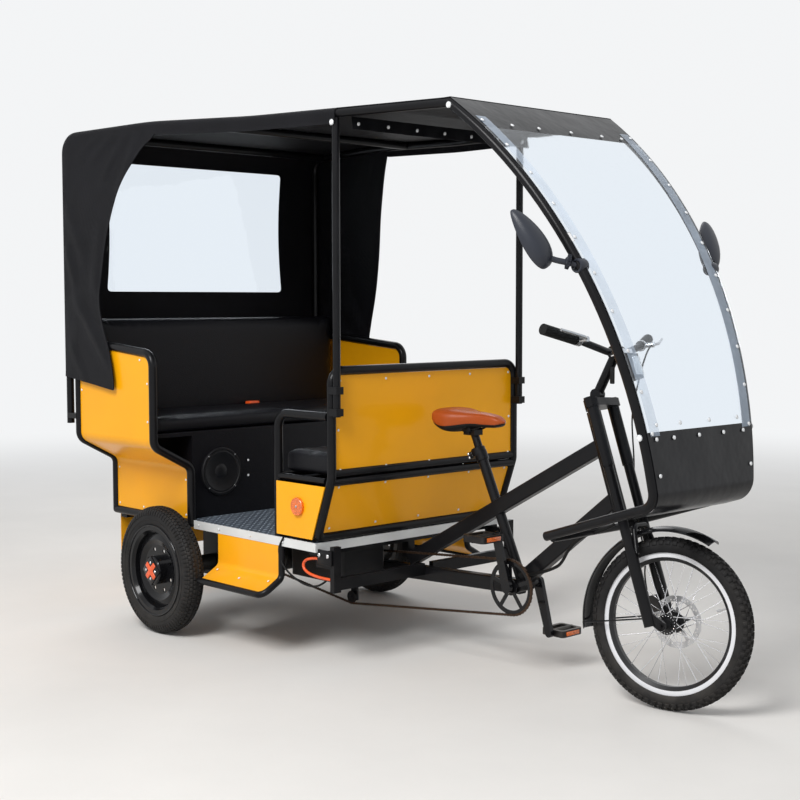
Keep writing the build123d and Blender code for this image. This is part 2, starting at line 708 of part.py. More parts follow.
# Roof frame: splayed side tubes that turn down at the rear into posts on the body, and cross tubes
BUTT = 120
KINK_R = 4000
REAR_BEND_R = 60
REAR_POST_FOOT = 740
BRACKET_HEIGHTS = (770, 990)
CROSS_TUBES = (ROOF_REAR + 75, 200, POST_X + 60)
with BuildPart() as roof_frame:
    for side, word in SIDES:
        butt = ROOF_FRONT - BUTT
        run = [(butt, roof_z(butt)), *ROOF_RUN[1:], (ROOF_REAR, REAR_POST_FOOT)]
        tube(
            [(ahead(x), side * roof_half(x), z) for x, z in run],
            CANOPY_TUBE,
            [KINK_R, KINK_R, REAR_BEND_R],
        )
        for z in BRACKET_HEIGHTS:
            slab(
                (ahead(ROOF_REAR), side * ROOF_REAR_HALF - CANOPY_TUBE / 2, z - 10),
                (ahead(BODY_REAR), side * ROOF_REAR_HALF + CANOPY_TUBE / 2, z + 10),
            )
        rod(
            (ahead(BODY_REAR), side * UPPER_HALF, REAR_POST_FOOT),
            (ahead(BODY_REAR), side * UPPER_HALF, RAIL_REAR_Z - CORNER_R),
            BODY_TUBE + 2 * FIT,
            Mode.SUBTRACT,
        )
    for x in CROSS_TUBES:
        rod((ahead(x), -roof_half(x), roof_z(x)), (ahead(x), roof_half(x), roof_z(x)), CANOPY_TUBE)
save(roof_frame.part, "roof_frame")

# Windscreen hoop: two curved side tubes in planes that lean in towards the bottom
HOOP_LEAN = 0.1272
HOOP_MID = (WHEELBASE - 91, 1310)
HOOP_LOW = (WHEELBASE + 113, 690)
HOOP_TURN = 54
HOOP_BEND_R = 50
HOOP_TAIL = (WHEELBASE - 288.4, 503.6)
TAIL_BAR = 24
TAIL_BAR_X = WHEELBASE - 263
TAIL_BAR_Z = 501.1


def hoop_half(z):
    """Half width of the hoop's side tubes at this height."""
    return ROOF_FRONT_HALF - (ROOF_Z - z) * HOOP_LEAN


def hoop_spot(side, x, z):
    """A point in one side tube's leaning plane, this far ahead of the rear axle."""
    return (ahead(x), side * hoop_half(z), z)


def hoop_bow(side):
    """The long curve of one side tube's middle line, from the roof down."""
    return ThreePointArc(
        hoop_spot(side, ROOF_FRONT, ROOF_Z), hoop_spot(side, *HOOP_MID), hoop_spot(side, *HOOP_LOW)
    )


with BuildPart() as windscreen_hoop:
    for side, word in SIDES:
        with BuildLine() as route:
            bow = hoop_bow(side)
            FilletPolyline(
                bow @ 1,
                bow @ 1 + (bow % 1) * HOOP_TURN,
                hoop_spot(side, *HOOP_TAIL),
                radius=HOOP_BEND_R,
            )
        with BuildSketch(Plane(origin=bow @ 0, z_dir=bow % 0)) as ring:
            Circle(CANOPY_TUBE / 2)
        sweep(ring.sketch, path=route.line)
        with Locations(bow @ 0):
            Sphere(CANOPY_TUBE / 2 + 0.1)
        butt = ROOF_FRONT - BUTT
        rod((ahead(butt), side * roof_half(butt), roof_z(butt)), bow @ 0, CANOPY_TUBE)
    rod(
        (ahead(ROOF_FRONT), -ROOF_FRONT_HALF, ROOF_Z),
        (ahead(ROOF_FRONT), ROOF_FRONT_HALF, ROOF_Z),
        CANOPY_TUBE,
    )
    rod(
        (ahead(TAIL_BAR_X), -hoop_half(TAIL_BAR_Z), TAIL_BAR_Z),
        (ahead(TAIL_BAR_X), hoop_half(TAIL_BAR_Z), TAIL_BAR_Z),
        TAIL_BAR,
    )
save(windscreen_hoop.part, "windscreen_hoop")

# Windscreen: a clear sheet, notched for the mirrors, and two black panels over the hoop's front
SCREEN_OFF = CANOPY_TUBE / 2 + FIT
SCREEN = 2
SCREEN_TOP_Z = ROOF_Z - 79
SCREEN_LOW_Z = 840
SHIELD_REAR = HOOP_LOW[0] - 76
MIRROR_AT = 0.445
CLAMP = 38
CLAMP_HALF = 13


def mirror_foot(side):
    """Where a mirror's clamp sits on the hoop, and the tube's direction there."""
    with BuildLine(mode=Mode.PRIVATE):
        bow = hoop_bow(side)
    return bow @ MIRROR_AT, bow % MIRROR_AT


def flat_bow():
    """The hoop's long curve seen from the side."""
    spots = [(ROOF_FRONT, ROOF_Z), HOOP_MID, HOOP_LOW]
    return ThreePointArc(*[(ahead(x), z) for x, z in spots])


def trim_to_hoop():
    """Cut the piece being built along the planes of the hoop's two sides."""
    for side, word in SIDES:
        edge = Plane(origin=(0, side * ROOF_FRONT_HALF, ROOF_Z), z_dir=(0, side, -HOOP_LEAN))
        split(bisect_by=edge, keep=Keep.BOTTOM)


def hoop_face(low_z, high_z):
    """A band of the windscreen's surface between two heights, out to the side tubes' middles."""
    with BuildLine(mode=Mode.PRIVATE):
        bow = flat_bow()
    centre, radius = bow.arc_center, bow.radius
    with BuildSketch(Plane.XZ) as section:
        with Locations((centre.X, centre.Y)):
            Circle(radius + SCREEN_OFF + SCREEN)
            Circle(radius + SCREEN_OFF, mode=Mode.SUBTRACT)
        with Locations((centre.X + 1.5 * radius, (low_z + high_z) / 2)):
            Rectangle(3 * radius, high_z - low_z, mode=Mode.INTERSECT)
    extrude(section.sketch, amount=ROOF_FRONT_HALF + 20, both=True)
    trim_to_hoop()


with BuildPart() as windscreen:
    hoop_face(SCREEN_LOW_Z + FIT, SCREEN_TOP_Z - FIT)
    for side, word in SIDES:
        foot, along = mirror_foot(side)
        notch = along * (CLAMP_HALF + 2)
        rod(foot - notch, foot + notch, CLAMP + 4, Mode.SUBTRACT)
save(windscreen.part, "windscreen")

with BuildPart() as windscreen_header:
    hoop_face(SCREEN_TOP_Z, ROOF_Z + CANOPY_TUBE / 2)
save(windscreen_header.part, "windscreen_header")



def wrapped_bow(amount):
    """The space between the hoop's line seen from the side and the same line moved forwards."""
    with BuildLine() as outline:
        bow = flat_bow()
        tail = (ahead(HOOP_TAIL[0]), HOOP_TAIL[1])
        FilletPolyline(bow @ 1, bow @ 1 + (bow % 1) * HOOP_TURN, tail, radius=HOOP_BEND_R)
        offset(amount=amount, side=Side.LEFT)
    make_face(outline.line.edges())


with BuildPart() as windscreen_skirt:
    with BuildSketch(Plane.XZ) as section:
        wrapped_bow(SCREEN_OFF + FIT + SCREEN)
        with BuildSketch(Plane.XZ, mode=Mode.PRIVATE) as inner:
            wrapped_bow(SCREEN_OFF + FIT)
        add(inner.sketch, mode=Mode.SUBTRACT)
        with Locations((ahead(SHIELD_REAR) + 200, SCREEN_LOW_Z - 200)):
            Rectangle(400, 400, mode=Mode.INTERSECT)
    extrude(section.sketch, amount=ROOF_FRONT_HALF + 20, both=True)
    trim_to_hoop()
save(windscreen_skirt.part, "windscreen_skirt")

# Roof skin: cloth stretched over the tubes, down a little at the sides and over the rear bend
SKIRT = 34
UNDER_ROOF = CANOPY_TUBE / 2 + FIT
ROOF_LIP = 4
SEAM_Z = ROOF_Z - SKIRT


def roof_edge(distance, grow):
    """Half width of the roof here, grown by this much square to its slanting side tube."""
    return roof_half(distance) + grow * sqrt(1 + ROOF_SPLAY**2)


def roof_plan(grow, front):
    """The roof's plan, grown around the tubes' middle lines and cut off square in front."""
    rear = ROOF_REAR - grow
    with BuildSketch() as plan:
        with BuildLine() as outline:
            Polyline(
                (ahead(rear), -roof_edge(rear, grow)),
                (ahead(front), -roof_edge(front, grow)),
                (ahead(front), roof_edge(front, grow)),
                (ahead(rear), roof_edge(rear, grow)),
                close=True,
            )
        make_face(outline.line.edges())
    return plan.sketch


def roof_band(low, high):
    """The roof seen from the side, from below its tubes' middle to above it, down to the seam."""
    with BuildSketch(Plane.XZ) as band:
        for amount, mode in ((high, Mode.ADD), (low, Mode.ADD if low < 0 else Mode.SUBTRACT)):
            with BuildLine(mode=Mode.PRIVATE) as outline:
                front = ROOF_FRONT + ROOF_LIP
                run = [(front, roof_z(front)), *ROOF_RUN[1:], (ROOF_REAR, SEAM_Z)]
                FilletPolyline(*[(ahead(x), z) for x, z in run], radius=[KINK_R, KINK_R, REAR_BEND_R])
                offset(amount=abs(amount), side=Side.RIGHT if amount > 0 else Side.LEFT)
            make_face(outline.line.edges(), mode=mode)
    return band.sketch


with BuildPart() as roof_outside:
    extrude(roof_band(-SKIRT, UNDER_ROOF + FABRIC), amount=2 * UPPER_HALF, both=True)
    extrude(roof_plan(UNDER_ROOF + FABRIC, ROOF_FRONT + ROOF_LIP), amount=2 * ROOF_Z, mode=Mode.INTERSECT)

with BuildPart() as roof_inside:
    extrude(roof_band(-SKIRT - 5, UNDER_ROOF), amount=2 * UPPER_HALF, both=True)
    extrude(roof_plan(UNDER_ROOF, ROOF_FRONT + ROOF_LIP + 1), amount=2 * ROOF_Z, mode=Mode.INTERSECT)

with BuildPart() as canopy_roof:
    add(roof_outside.part)
    add(roof_inside.part, mode=Mode.SUBTRACT)
    slab(
        (ahead(ROOF_FRONT - 6), -UPPER_HALF, SEAM_Z - 10),
        (ahead(ROOF_FRONT) + 10, UPPER_HALF, ROOF_Z + CANOPY_TUBE / 2),
        Mode.SUBTRACT,
    )
save(canopy_roof.part, "canopy_roof")

# Rear curtain with its window, and the wings that hang outside the side panels
WING_Y = ROOF_REAR_HALF + UNDER_ROOF
WING_TOP_FRONT = 40
WING_LOW_FRONT = -140
WING_BREAK = RAIL_REAR_Z + BODY_TUBE / 2 + 5
WING_HIGH = roof_z(ROOF_REAR) - SKIRT
HEM_REAR_Z = 918
HEM_FRONT_Z = 878
WINDOW_HALF = 430
WINDOW_LOW = 1240
WINDOW_TOP = ROOF_Z - 46
WINDOW_SHEET = 1
CURTAIN_X = ahead(ROOF_REAR) - UNDER_ROOF - FABRIC
# Each wing's front edge: its bow's start, middle and end, then its corners down to the hem
WING_FRONTS = {
    -1: [(WING_TOP_FRONT, ROOF_Z + 6), (-205, 1480), (-235, 1180), (-150, 1010)],
    1: [(WING_TOP_FRONT, ROOF_Z + 6), (-42, 1450), (-115, 1185), (-159, 1070), (-150, 1010)],
}


def wing_strip(rear_y, front_y, thick):
    """The wing's footprint at one height, from the rear curtain to its front corner."""
    with BuildLine() as edge:
        Polyline(
            (CURTAIN_X, rear_y),
            (ahead(WING_TOP_FRONT), front_y),
            (ahead(WING_TOP_FRONT), front_y + thick),
            (CURTAIN_X, rear_y + thick),
            close=True,
        )
    make_face(edge.line.edges())


with BuildPart() as canopy_curtain:
    slab(
        (CURTAIN_X, -WING_Y - FABRIC, HEM_REAR_Z),
        (CURTAIN_X + FABRIC, WING_Y + FABRIC, SEAM_Z - FIT),
    )
    slab(
        (CURTAIN_X - 1, -WINDOW_HALF, WINDOW_LOW),
        (CURTAIN_X + FABRIC + 1, WINDOW_HALF, WINDOW_TOP),
        Mode.SUBTRACT,
    )
    for side, word in SIDES:
        inner_rear = side * roof_edge(ROOF_REAR - UNDER_ROOF - FABRIC, UNDER_ROOF)
        inner_front = side * roof_edge(WING_TOP_FRONT, UNDER_ROOF)
        slab(
            (CURTAIN_X, min(side * WING_Y, side * (WING_Y + FABRIC)), HEM_FRONT_Z - 10),
            (ahead(WING_TOP_FRONT), max(side * WING_Y, side * (WING_Y + FABRIC)), WING_BREAK),
        )
        with BuildSketch(Plane.XY.offset(WING_BREAK)) as low:
            wing_strip(side * WING_Y, side * WING_Y, side * FABRIC)
        with BuildSketch(Plane.XY.offset(WING_HIGH)) as high:
            wing_strip(inner_rear, inner_front, side * FABRIC)
        loft([low.sketch, high.sketch], ruled=True)
        extrude(high.sketch, amount=SKIRT)
        with BuildSketch(Plane.XZ) as cutter:
            with BuildLine() as edge:
                top, middle, end, *corners = [(ahead(x), z) for x, z in WING_FRONTS[side]]
                ThreePointArc(top, middle, end)
                Polyline(
                    end,
                    *corners,
                    (ahead(WING_LOW_FRONT), HEM_FRONT_Z),
                    (CURTAIN_X, HEM_REAR_Z),
                    (CURTAIN_X - 10, HEM_REAR_Z),
                    (CURTAIN_X - 10, FLOOR_Z),
                    (ahead(WING_TOP_FRONT) + 50, FLOOR_Z),
                    (ahead(WING_TOP_FRONT) + 50, ROOF_Z + 2 * SKIRT),
                    (ahead(WING_TOP_FRONT), ROOF_Z + 2 * SKIRT),
                    top,
                )
            make_face(edge.line.edges())
        extrude(cutter.sketch, amount=-side * 2 * UPPER_HALF, mode=Mode.SUBTRACT)
    extrude(roof_band(-SKIRT - FIT, 2 * SKIRT), amount=2 * UPPER_HALF, both=True, mode=Mode.SUBTRACT)
save(canopy_curtain.part, "canopy_curtain")

with BuildPart() as rear_window:
    slab(
        (CURTAIN_X + FABRIC / 2, -WINDOW_HALF + FIT, WINDOW_LOW + FIT),
        (CURTAIN_X + FABRIC / 2 + WINDOW_SHEET, WINDOW_HALF - FIT, WINDOW_TOP - FIT),
    )
save(rear_window.part, "rear_window")

# Frame: head tube, top and down tubes, seat tube, bottom bracket and the low rear tube
HEAD_R = 22
STEERER_R = 14.5
SEAT_TUBE = 34
SEAT_POST = 27
SEAT_TUBE_TOP = 705
SEAT_LEAN = 0.46
SHELL_R = 21
SHELL_HALF = 36
SPINDLE_R = 12
LOW_TUBE_Z = 232
PULLEY_X = 516
PULLEY_Z = 140
PULLEY_R = 22


def seat_axis(z):
    """A point on the seat tube's middle line at this height."""
    return (ahead(BRACKET_X) - (z - BRACKET_Z) * SEAT_LEAN, 0, z)


bracket = (ahead(BRACKET_X), 0, BRACKET_Z)
with BuildPart() as main_frame:
    rod(along_axis(HEAD_LOW), along_axis(HEAD_HIGH), 2 * HEAD_R)
    square_bar(along_axis(560), (ahead(770), 0, 305), MAIN_H, MAIN_W)
    square_bar(along_axis(393), (ahead(BRACKET_X + 5), 0, BRACKET_Z + 20), MAIN_H, MAIN_W)
    rod(bracket, seat_axis(SEAT_TUBE_TOP), SEAT_TUBE)
    rod(seat_axis(SEAT_TUBE_TOP - 28), seat_axis(SEAT_TUBE_TOP), SEAT_TUBE + 8)
    rod(
        (ahead(BRACKET_X), -SHELL_HALF, BRACKET_Z),
        (ahead(BRACKET_X), SHELL_HALF, BRACKET_Z),
        2 * SHELL_R,
    )
    square_bar((ahead(BRACKET_X - 5), 0, BRACKET_Z - 6), (ahead(235), 0, LOW_TUBE_Z + 10), MAIN_H, MAIN_W)
    for x in (250, 560):
        slab((ahead(x) - 15, -15, LOW_TUBE_Z + 20), (ahead(x) + 15, 15, RAIL_TOP - CROSS_H - FIT))
    slab(
        (ahead(FLOOR_FRONT - 28) - 15, -15, 310),
        (ahead(FLOOR_FRONT - 28) + 15, 15, RAIL_TOP - CROSS_H - FIT),
    )
    slab((ahead(PULLEY_X) - 16, -50, PULLEY_Z - 12), (ahead(PULLEY_X) + 16, -42, LOW_TUBE_Z + 32))
    rod((ahead(PULLEY_X), -50, LOW_TUBE_Z + 20), (ahead(PULLEY_X), 0, LOW_TUBE_Z + 20), 24)
    rod((ahead(PULLEY_X), -50, PULLEY_Z), (ahead(PULLEY_X), DRIVE_Y - 6, PULLEY_Z), 12)
    rod((ahead(PULLEY_X), DRIVE_Y - 3, PULLEY_Z), (ahead(PULLEY_X), DRIVE_Y + 3, PULLEY_Z), 2 * PULLEY_R)
    rod(along_axis(HEAD_LOW - 5), along_axis(HEAD_HIGH + 5), 2 * STEERER_R + 1, Mode.SUBTRACT)
    rod(
        (ahead(BRACKET_X), -SHELL_HALF - 1, BRACKET_Z),
        (ahead(BRACKET_X), SHELL_HALF + 1, BRACKET_Z),
        2 * SPINDLE_R + 1,
        Mode.SUBTRACT,
    )
save(main_frame.part, "main_frame")

# Saddle and its post
SADDLE_REAR = BRACKET_X - 367
SADDLE_NOSE = BRACKET_X - 80
SADDLE_TOP = 846
SADDLE_LOW = 776.3
with BuildPart() as seat_post:
    rod(seat_axis(SEAT_TUBE_TOP + FIT), seat_axis(SADDLE_LOW - 11), SEAT_POST)
    head = seat_axis(SADDLE_LOW - 6)[0]
    slab((head - 28, -20, SADDLE_LOW - FIT - 18), (head + 22, 20, SADDLE_LOW - FIT))
save(seat_post.part, "seat_post")


def saddle_x(share):
    """X at this share of the saddle's length from its back."""
    return ahead(SADDLE_REAR + share * (SADDLE_NOSE - SADDLE_REAR))


with BuildPart() as saddle:
    back, waist, tip = saddle_x(0.14), saddle_x(0.453), saddle_x(0.93)
    with BuildSketch(Plane.XY.offset(SADDLE_LOW)) as plan:
        with BuildLine() as outline:
            ThreePointArc((back, 84), (saddle_x(0), 0), (back, -84))
            ThreePointArc((back, -84), (waist, -42), (tip, -22))
            ThreePointArc((tip, -22), (saddle_x(1), 0), (tip, 22))
            ThreePointArc((tip, 22), (waist, 42), (back, 84))
        make_face(outline.line.edges())
    extrude(plan.sketch, amount=SADDLE_TOP - SADDLE_LOW)
    behind, in_front, dip = saddle_x(0) - 5, saddle_x(1) + 5, saddle_x(0.523)
    with BuildSketch(Plane.XZ) as profile:
        with BuildLine() as outline:
            ThreePointArc(
                (behind, SADDLE_TOP - 18), (saddle_x(0.244), SADDLE_TOP), (dip, SADDLE_TOP - 16)
            )
            ThreePointArc(
                (dip, SADDLE_TOP - 16), (saddle_x(0.826), SADDLE_TOP - 22), (in_front, SADDLE_TOP - 45)
            )
            Polyline(
                (in_front, SADDLE_TOP - 45), (in_front, SADDLE_TOP - 62),
                (dip, SADDLE_LOW), (behind, SADDLE_LOW), (behind, SADDLE_TOP - 18),
            )
        make_face(outline.line.edges())
    extrude(profile.sketch, amount=100, both=True, mode=Mode.INTERSECT)
save(saddle.part, "saddle")


def steered(part, node):
    """Turn a piece made in the steering frame to where it is parked, and write it."""
    save(part.moved(STEER.location), node)


# Fork: steerer, two crowns, two legs, an arch and the wheel's axle
LEG_Y = 66
LEG_X = 35
LEG_R = 18
CROWN = 24
AXLE_R = 6
ARCH_LOW = 218
ARCH_HALF = 40
ARCH_TOP = 301
with BuildPart() as fork:
    rod((0, 0, HEAD_LOW - RUNNING_GAP - 2), (0, 0, HEAD_HIGH + RUNNING_GAP + CROWN), 2 * STEERER_R)
    for z in (HEAD_LOW - RUNNING_GAP - CROWN, HEAD_HIGH + RUNNING_GAP):
        with BuildSketch(Plane.XY.offset(z)) as crown:
            with Locations((LEG_X, LEG_Y), (LEG_X, -LEG_Y)):
                Circle(LEG_R + 5)
            with Locations((0, 0)):
                Circle(HEAD_R)
            make_hull()
        extrude(crown.sketch, amount=CROWN)
    for side, word in SIDES:
        y = side * LEG_Y
        rod((LEG_X, y, 210), (LEG_X, y, HEAD_HIGH + RUNNING_GAP + CROWN), 30)
        rod((LEG_X, y, 490), (LEG_X, y, HEAD_HIGH + RUNNING_GAP + CROWN + 3), 2 * LEG_R)
        rod((LEG_X, y, 5), (LEG_X, y, 232), 2 * LEG_R)
        with BuildSketch(Plane.XZ.offset(-y - 5)) as lug:
            with Locations((AXLE_LEAD, 0)):
                Circle(15)
            with Locations((LEG_X, 40)):
                Circle(14)
            make_hull()
        extrude(lug.sketch, amount=10)
    arch_x = LEG_X + LEG_R
    tube(
        [
            (arch_x, -LEG_Y, ARCH_LOW),
            (arch_x, -ARCH_HALF, ARCH_TOP),
            (arch_x, ARCH_HALF, ARCH_TOP),
            (arch_x, LEG_Y, ARCH_LOW),
        ],
        16,
        [25, 25],
    )
    rod((AXLE_LEAD, -LEG_Y - 14, 0), (AXLE_LEAD, LEG_Y + 14, 0), 2 * AXLE_R)
steered(fork.part, "fork")

# Front wheel: tyre, rim, hub with crossed spokes, brake disc
wheel_plane = Plane(origin=(AXLE_LEAD, 0, 0), x_dir=(0, 1, 0), z_dir=(1, 0, 0))
front_axle = Axis(wheel_plane.origin, (0, 1, 0))
FRONT_RIM_HALF = 16
RIM_WALL = 3
with BuildPart() as front_tyre:
    with BuildSketch(wheel_plane):
        tyre_section(FRONT_TYRE_R, FRONT_TYRE_W, FRONT_BEAD_R, FRONT_RIM_R, FRONT_RIM_HALF - RIM_WALL - FIT)
    revolve(axis=front_axle)
steered(front_tyre.part, "front_tyre")

with BuildPart() as front_rim:
    with BuildSketch(wheel_plane) as section:
        with BuildLine():
            Polyline(
                (0, FRONT_BEAD_R),
                (FRONT_RIM_HALF - RIM_WALL, FRONT_BEAD_R),
                (FRONT_RIM_HALF - RIM_WALL, FRONT_RIM_R),
                (FRONT_RIM_HALF, FRONT_RIM_R),
                (FRONT_RIM_HALF, FRONT_RIM_R - 16),
                (8, FRONT_RIM_R - 26),
                (0, FRONT_RIM_R - 26),
                close=True,
            )
        make_face()
        mirror(about=Plane.YZ)
    revolve(axis=front_axle)
steered(front_rim.part, "front_rim")

HUB_R = 18
HUB_HALF = 42
HUB_FLANGE_R = 30
HUB_FLANGE_Y = 28
SPOKES = 36
SPOKE = 2.4
DISC_Y = 40
DISC_R = 80
with BuildPart() as front_hub:
    rod((AXLE_LEAD, -HUB_HALF, 0), (AXLE_LEAD, HUB_HALF, 0), 2 * HUB_R)
    for side, word in SIDES:
        rod(
            (AXLE_LEAD, side * HUB_FLANGE_Y - 2, 0),
            (AXLE_LEAD, side * HUB_FLANGE_Y + 2, 0),
            2 * HUB_FLANGE_R,
        )
        for number in range(SPOKES // 2):
            angle = 4 * pi * number / SPOKES + (0 if side > 0 else 2 * pi / SPOKES)
            lean = radians(62) if number % 2 else -radians(62)
            y = side * (HUB_FLANGE_Y + (1.6 if number % 2 else -1.6))
            start = (AXLE_LEAD + 26 * cos(angle + lean), y, 26 * sin(angle + lean))
            end_r = FRONT_RIM_R - 26 - FIT
            end = Vector(AXLE_LEAD + end_r * cos(angle), side * 4, end_r * sin(angle))
            with BuildSketch(Plane(origin=start, z_dir=end - Vector(*start))) as wire:
                RegularPolygon(SPOKE / 2, 6)
            extrude(wire.sketch, amount=(end - Vector(*start)).length)
    rod((AXLE_LEAD, -HUB_HALF - 1, 0), (AXLE_LEAD, HUB_HALF + 1, 0), 2 * AXLE_R + 1, Mode.SUBTRACT)
steered(front_hub.part, "front_hub")

with BuildPart() as brake_disc:
    with BuildSketch(Plane.XZ.offset(-HUB_HALF - FIT)) as disc:
        with Locations((AXLE_LEAD, 0)):
            Circle(DISC_R)
            Circle(DISC_R - 16, mode=Mode.SUBTRACT)
            with PolarLocations(0, 6):
                with Locations((DISC_R / 2 - 2, 0)):
                    Rectangle(DISC_R - 26, 9)
            Circle(HUB_R + 4)
            Circle(AXLE_R + 1, mode=Mode.SUBTRACT)
    extrude(disc.sketch, amount=-2)
steered(brake_disc.part, "brake_disc")

with BuildPart() as brake_caliper:
    slab((LEG_X - 52, LEG_Y - 36, 42), (LEG_X - 4, LEG_Y - 10, 92))
    slab((LEG_X - 30, LEG_Y - 14, 52), (LEG_X - LEG_R + 3, LEG_Y + 6, 82))
    rod((LEG_X, LEG_Y, 0), (LEG_X, LEG_Y, 200), 2 * LEG_R + 2 * FIT, Mode.SUBTRACT)
    rod(
        (AXLE_LEAD, HUB_HALF - RUNNING_GAP / 2, 0),
        (AXLE_LEAD, HUB_HALF + RUNNING_GAP, 0),
        2 * DISC_R + 8,
        Mode.SUBTRACT,
    )
steered(brake_caliper.part, "brake_caliper")

# Front mudguard: a curved band over the wheel, hung from the lower crown, and its stays
GUARD_R = 283
GUARD_HALF = 34
GUARD_SHEET = 3
GUARD_FROM = 44
GUARD_TO = 171
with BuildPart() as front_mudguard:
    start = radians(GUARD_FROM)
    band_plane = Plane(
        origin=(AXLE_LEAD, 0, 0), x_dir=(0, 1, 0), z_dir=(sin(start), 0, -cos(start))
    )
    rim = GUARD_R - 12
    with BuildSketch(band_plane) as band:
        with BuildLine() as outline:
            ThreePointArc((-GUARD_HALF, rim), (0, GUARD_R), (GUARD_HALF, rim))
            Line((GUARD_HALF, rim), (GUARD_HALF, rim + GUARD_SHEET))
            ThreePointArc(
                (GUARD_HALF, rim + GUARD_SHEET),
                (0, GUARD_R + GUARD_SHEET),
                (-GUARD_HALF, rim + GUARD_SHEET),
            )
            Line((-GUARD_HALF, rim + GUARD_SHEET), (-GUARD_HALF, rim))
        make_face(outline.line.edges())
    revolve(band.sketch, axis=Axis((AXLE_LEAD, 0, 0), (0, -1, 0)), revolution_arc=GUARD_TO - GUARD_FROM)
    slab((LEG_X - 12, -9, GUARD_R), (LEG_X + 8, 9, HEAD_LOW - RUNNING_GAP - CROWN - FIT))
    for side, word in SIDES:
        end = radians(GUARD_TO - 4)
        rod(
            (LEG_X - 14, side * (LEG_Y - LEG_R + 2), 30),
            (AXLE_LEAD + (GUARD_R - 8) * cos(end), side * (GUARD_HALF - 2), (GUARD_R - 8) * sin(end)),
            5,
        )
        rod((LEG_X, side * LEG_Y, 0), (LEG_X, side * LEG_Y, 100), 2 * LEG_R + 2 * FIT, Mode.SUBTRACT)
steered(front_mudguard.part, "front_mudguard")

# Handlebar: adjustable stem and swept bar, with grips and levers
STEM_TOP = HEAD_HIGH + RUNNING_GAP + CROWN
BAR = 22
BAR_X = 125
BAR_S = 818
GRIP_IN = (117, 190, 847)
GRIP_OUT = (84, 330, 887)
with BuildPart() as handlebar:
    rod((0, 0, STEM_TOP + FIT), (0, 0, STEM_TOP + 18), 40)
    slab((-14, -14, STEM_TOP + FIT), (36, 14, STEM_TOP + 18))
    rod((28, -17, STEM_TOP + 18), (28, 17, STEM_TOP + 18), 34)
    rod((28, 0, STEM_TOP + 18), (BAR_X, 0, BAR_S), 30)
    rod((BAR_X, -24, BAR_S), (BAR_X, 24, BAR_S), 40)
    slab((BAR_X - 7, -12, BAR_S - 20), (BAR_X + 40, 12, BAR_S - 15))
    tube(
        [
            (GRIP_OUT[0], -GRIP_OUT[1], GRIP_OUT[2]),
            (GRIP_IN[0], -GRIP_IN[1], GRIP_IN[2]),
            (BAR_X, -60, BAR_S),
            (BAR_X, 60, BAR_S),
            (GRIP_IN[0], GRIP_IN[1], GRIP_IN[2]),
            (GRIP_OUT[0], GRIP_OUT[1], GRIP_OUT[2]),
        ],
        BAR,
        [60, 80, 80, 60],
    )
steered(handlebar.part, "handlebar")

GRIP = 33
with BuildPart() as grips:
    for side, word in SIDES:
        inner = Vector(GRIP_IN[0], side * GRIP_IN[1], GRIP_IN[2])
        outer = Vector(GRIP_OUT[0], side * GRIP_OUT[1], GRIP_OUT[2])
        along = (outer - inner).normalized()
        rod(inner + along * 27, outer + along * 6, GRIP)
        rod(inner + along * 26, outer + along * 2 * FIT, BAR + 2 * FIT, Mode.SUBTRACT)
steered(grips.part, "grips")

with BuildPart() as brake_levers:
    for side, word in SIDES:
        inner = Vector(GRIP_IN[0], side * GRIP_IN[1], GRIP_IN[2])
        outer = Vector(GRIP_OUT[0], side * GRIP_OUT[1], GRIP_OUT[2])
        along = (outer - inner).normalized()
        ahead_of = Vector(1, 0, -0.3)
        ahead_of = (ahead_of - along * ahead_of.dot(along)).normalized()
        rod(inner + along * 8, inner + along * 24, 34)
        rod(inner + along * 16, inner + along * 16 + ahead_of * 42, 16)
        blade = [
            inner + along * 16 + ahead_of * 36,
            inner + along * 36 + ahead_of * 52,
            outer + along * -20 + ahead_of * 48,
        ]
        tube(blade, 9, [15])
        rod(inner + along * 7, inner + along * 25, BAR + 2 * FIT, Mode.SUBTRACT)
steered(brake_levers.part, "brake_levers")

with BuildPart() as headlight:
    slab((134, -28, 722), (180, 28, BAR_S - 20 - FIT))
    fillet(headlight.edges().filter_by(Axis.Z), 8)
steered(headlight.part, "headlight")

# Mirrors: a clamp on the hoop, a bent arm, and an oval housing
MIRROR_ARM = 10
with BuildPart() as mirrors:
    for side, word in SIDES:
        foot, along = mirror_foot(side)
        rod(foot - along * CLAMP_HALF, foot + along * CLAMP_HALF, CLAMP)
        tube(
            [
                foot + Vector(0, side * (CANOPY_TUBE / 2 + 3), 0),
                foot + Vector(-48, side * 45, 2),
                foot + Vector(-92, side * 92, 40),
                foot + Vector(-102, side * 116, 72),
            ],
            MIRROR_ARM,
            [20, 20],
        )
        face = Plane(
            origin=foot + Vector(-100, side * 118, 78),
            x_dir=(0.25, 0.97 * side, 0),
            z_dir=(0.97, -0.25 * side, 0),
        )
        with BuildSketch(face) as shell:
            Ellipse(58, 92)
        extrude(shell.sketch, amount=26)
        rod(foot - along * 14, foot + along * 14, CANOPY_TUBE + 2 * FIT, Mode.SUBTRACT)
save(mirrors.part, "mirrors")

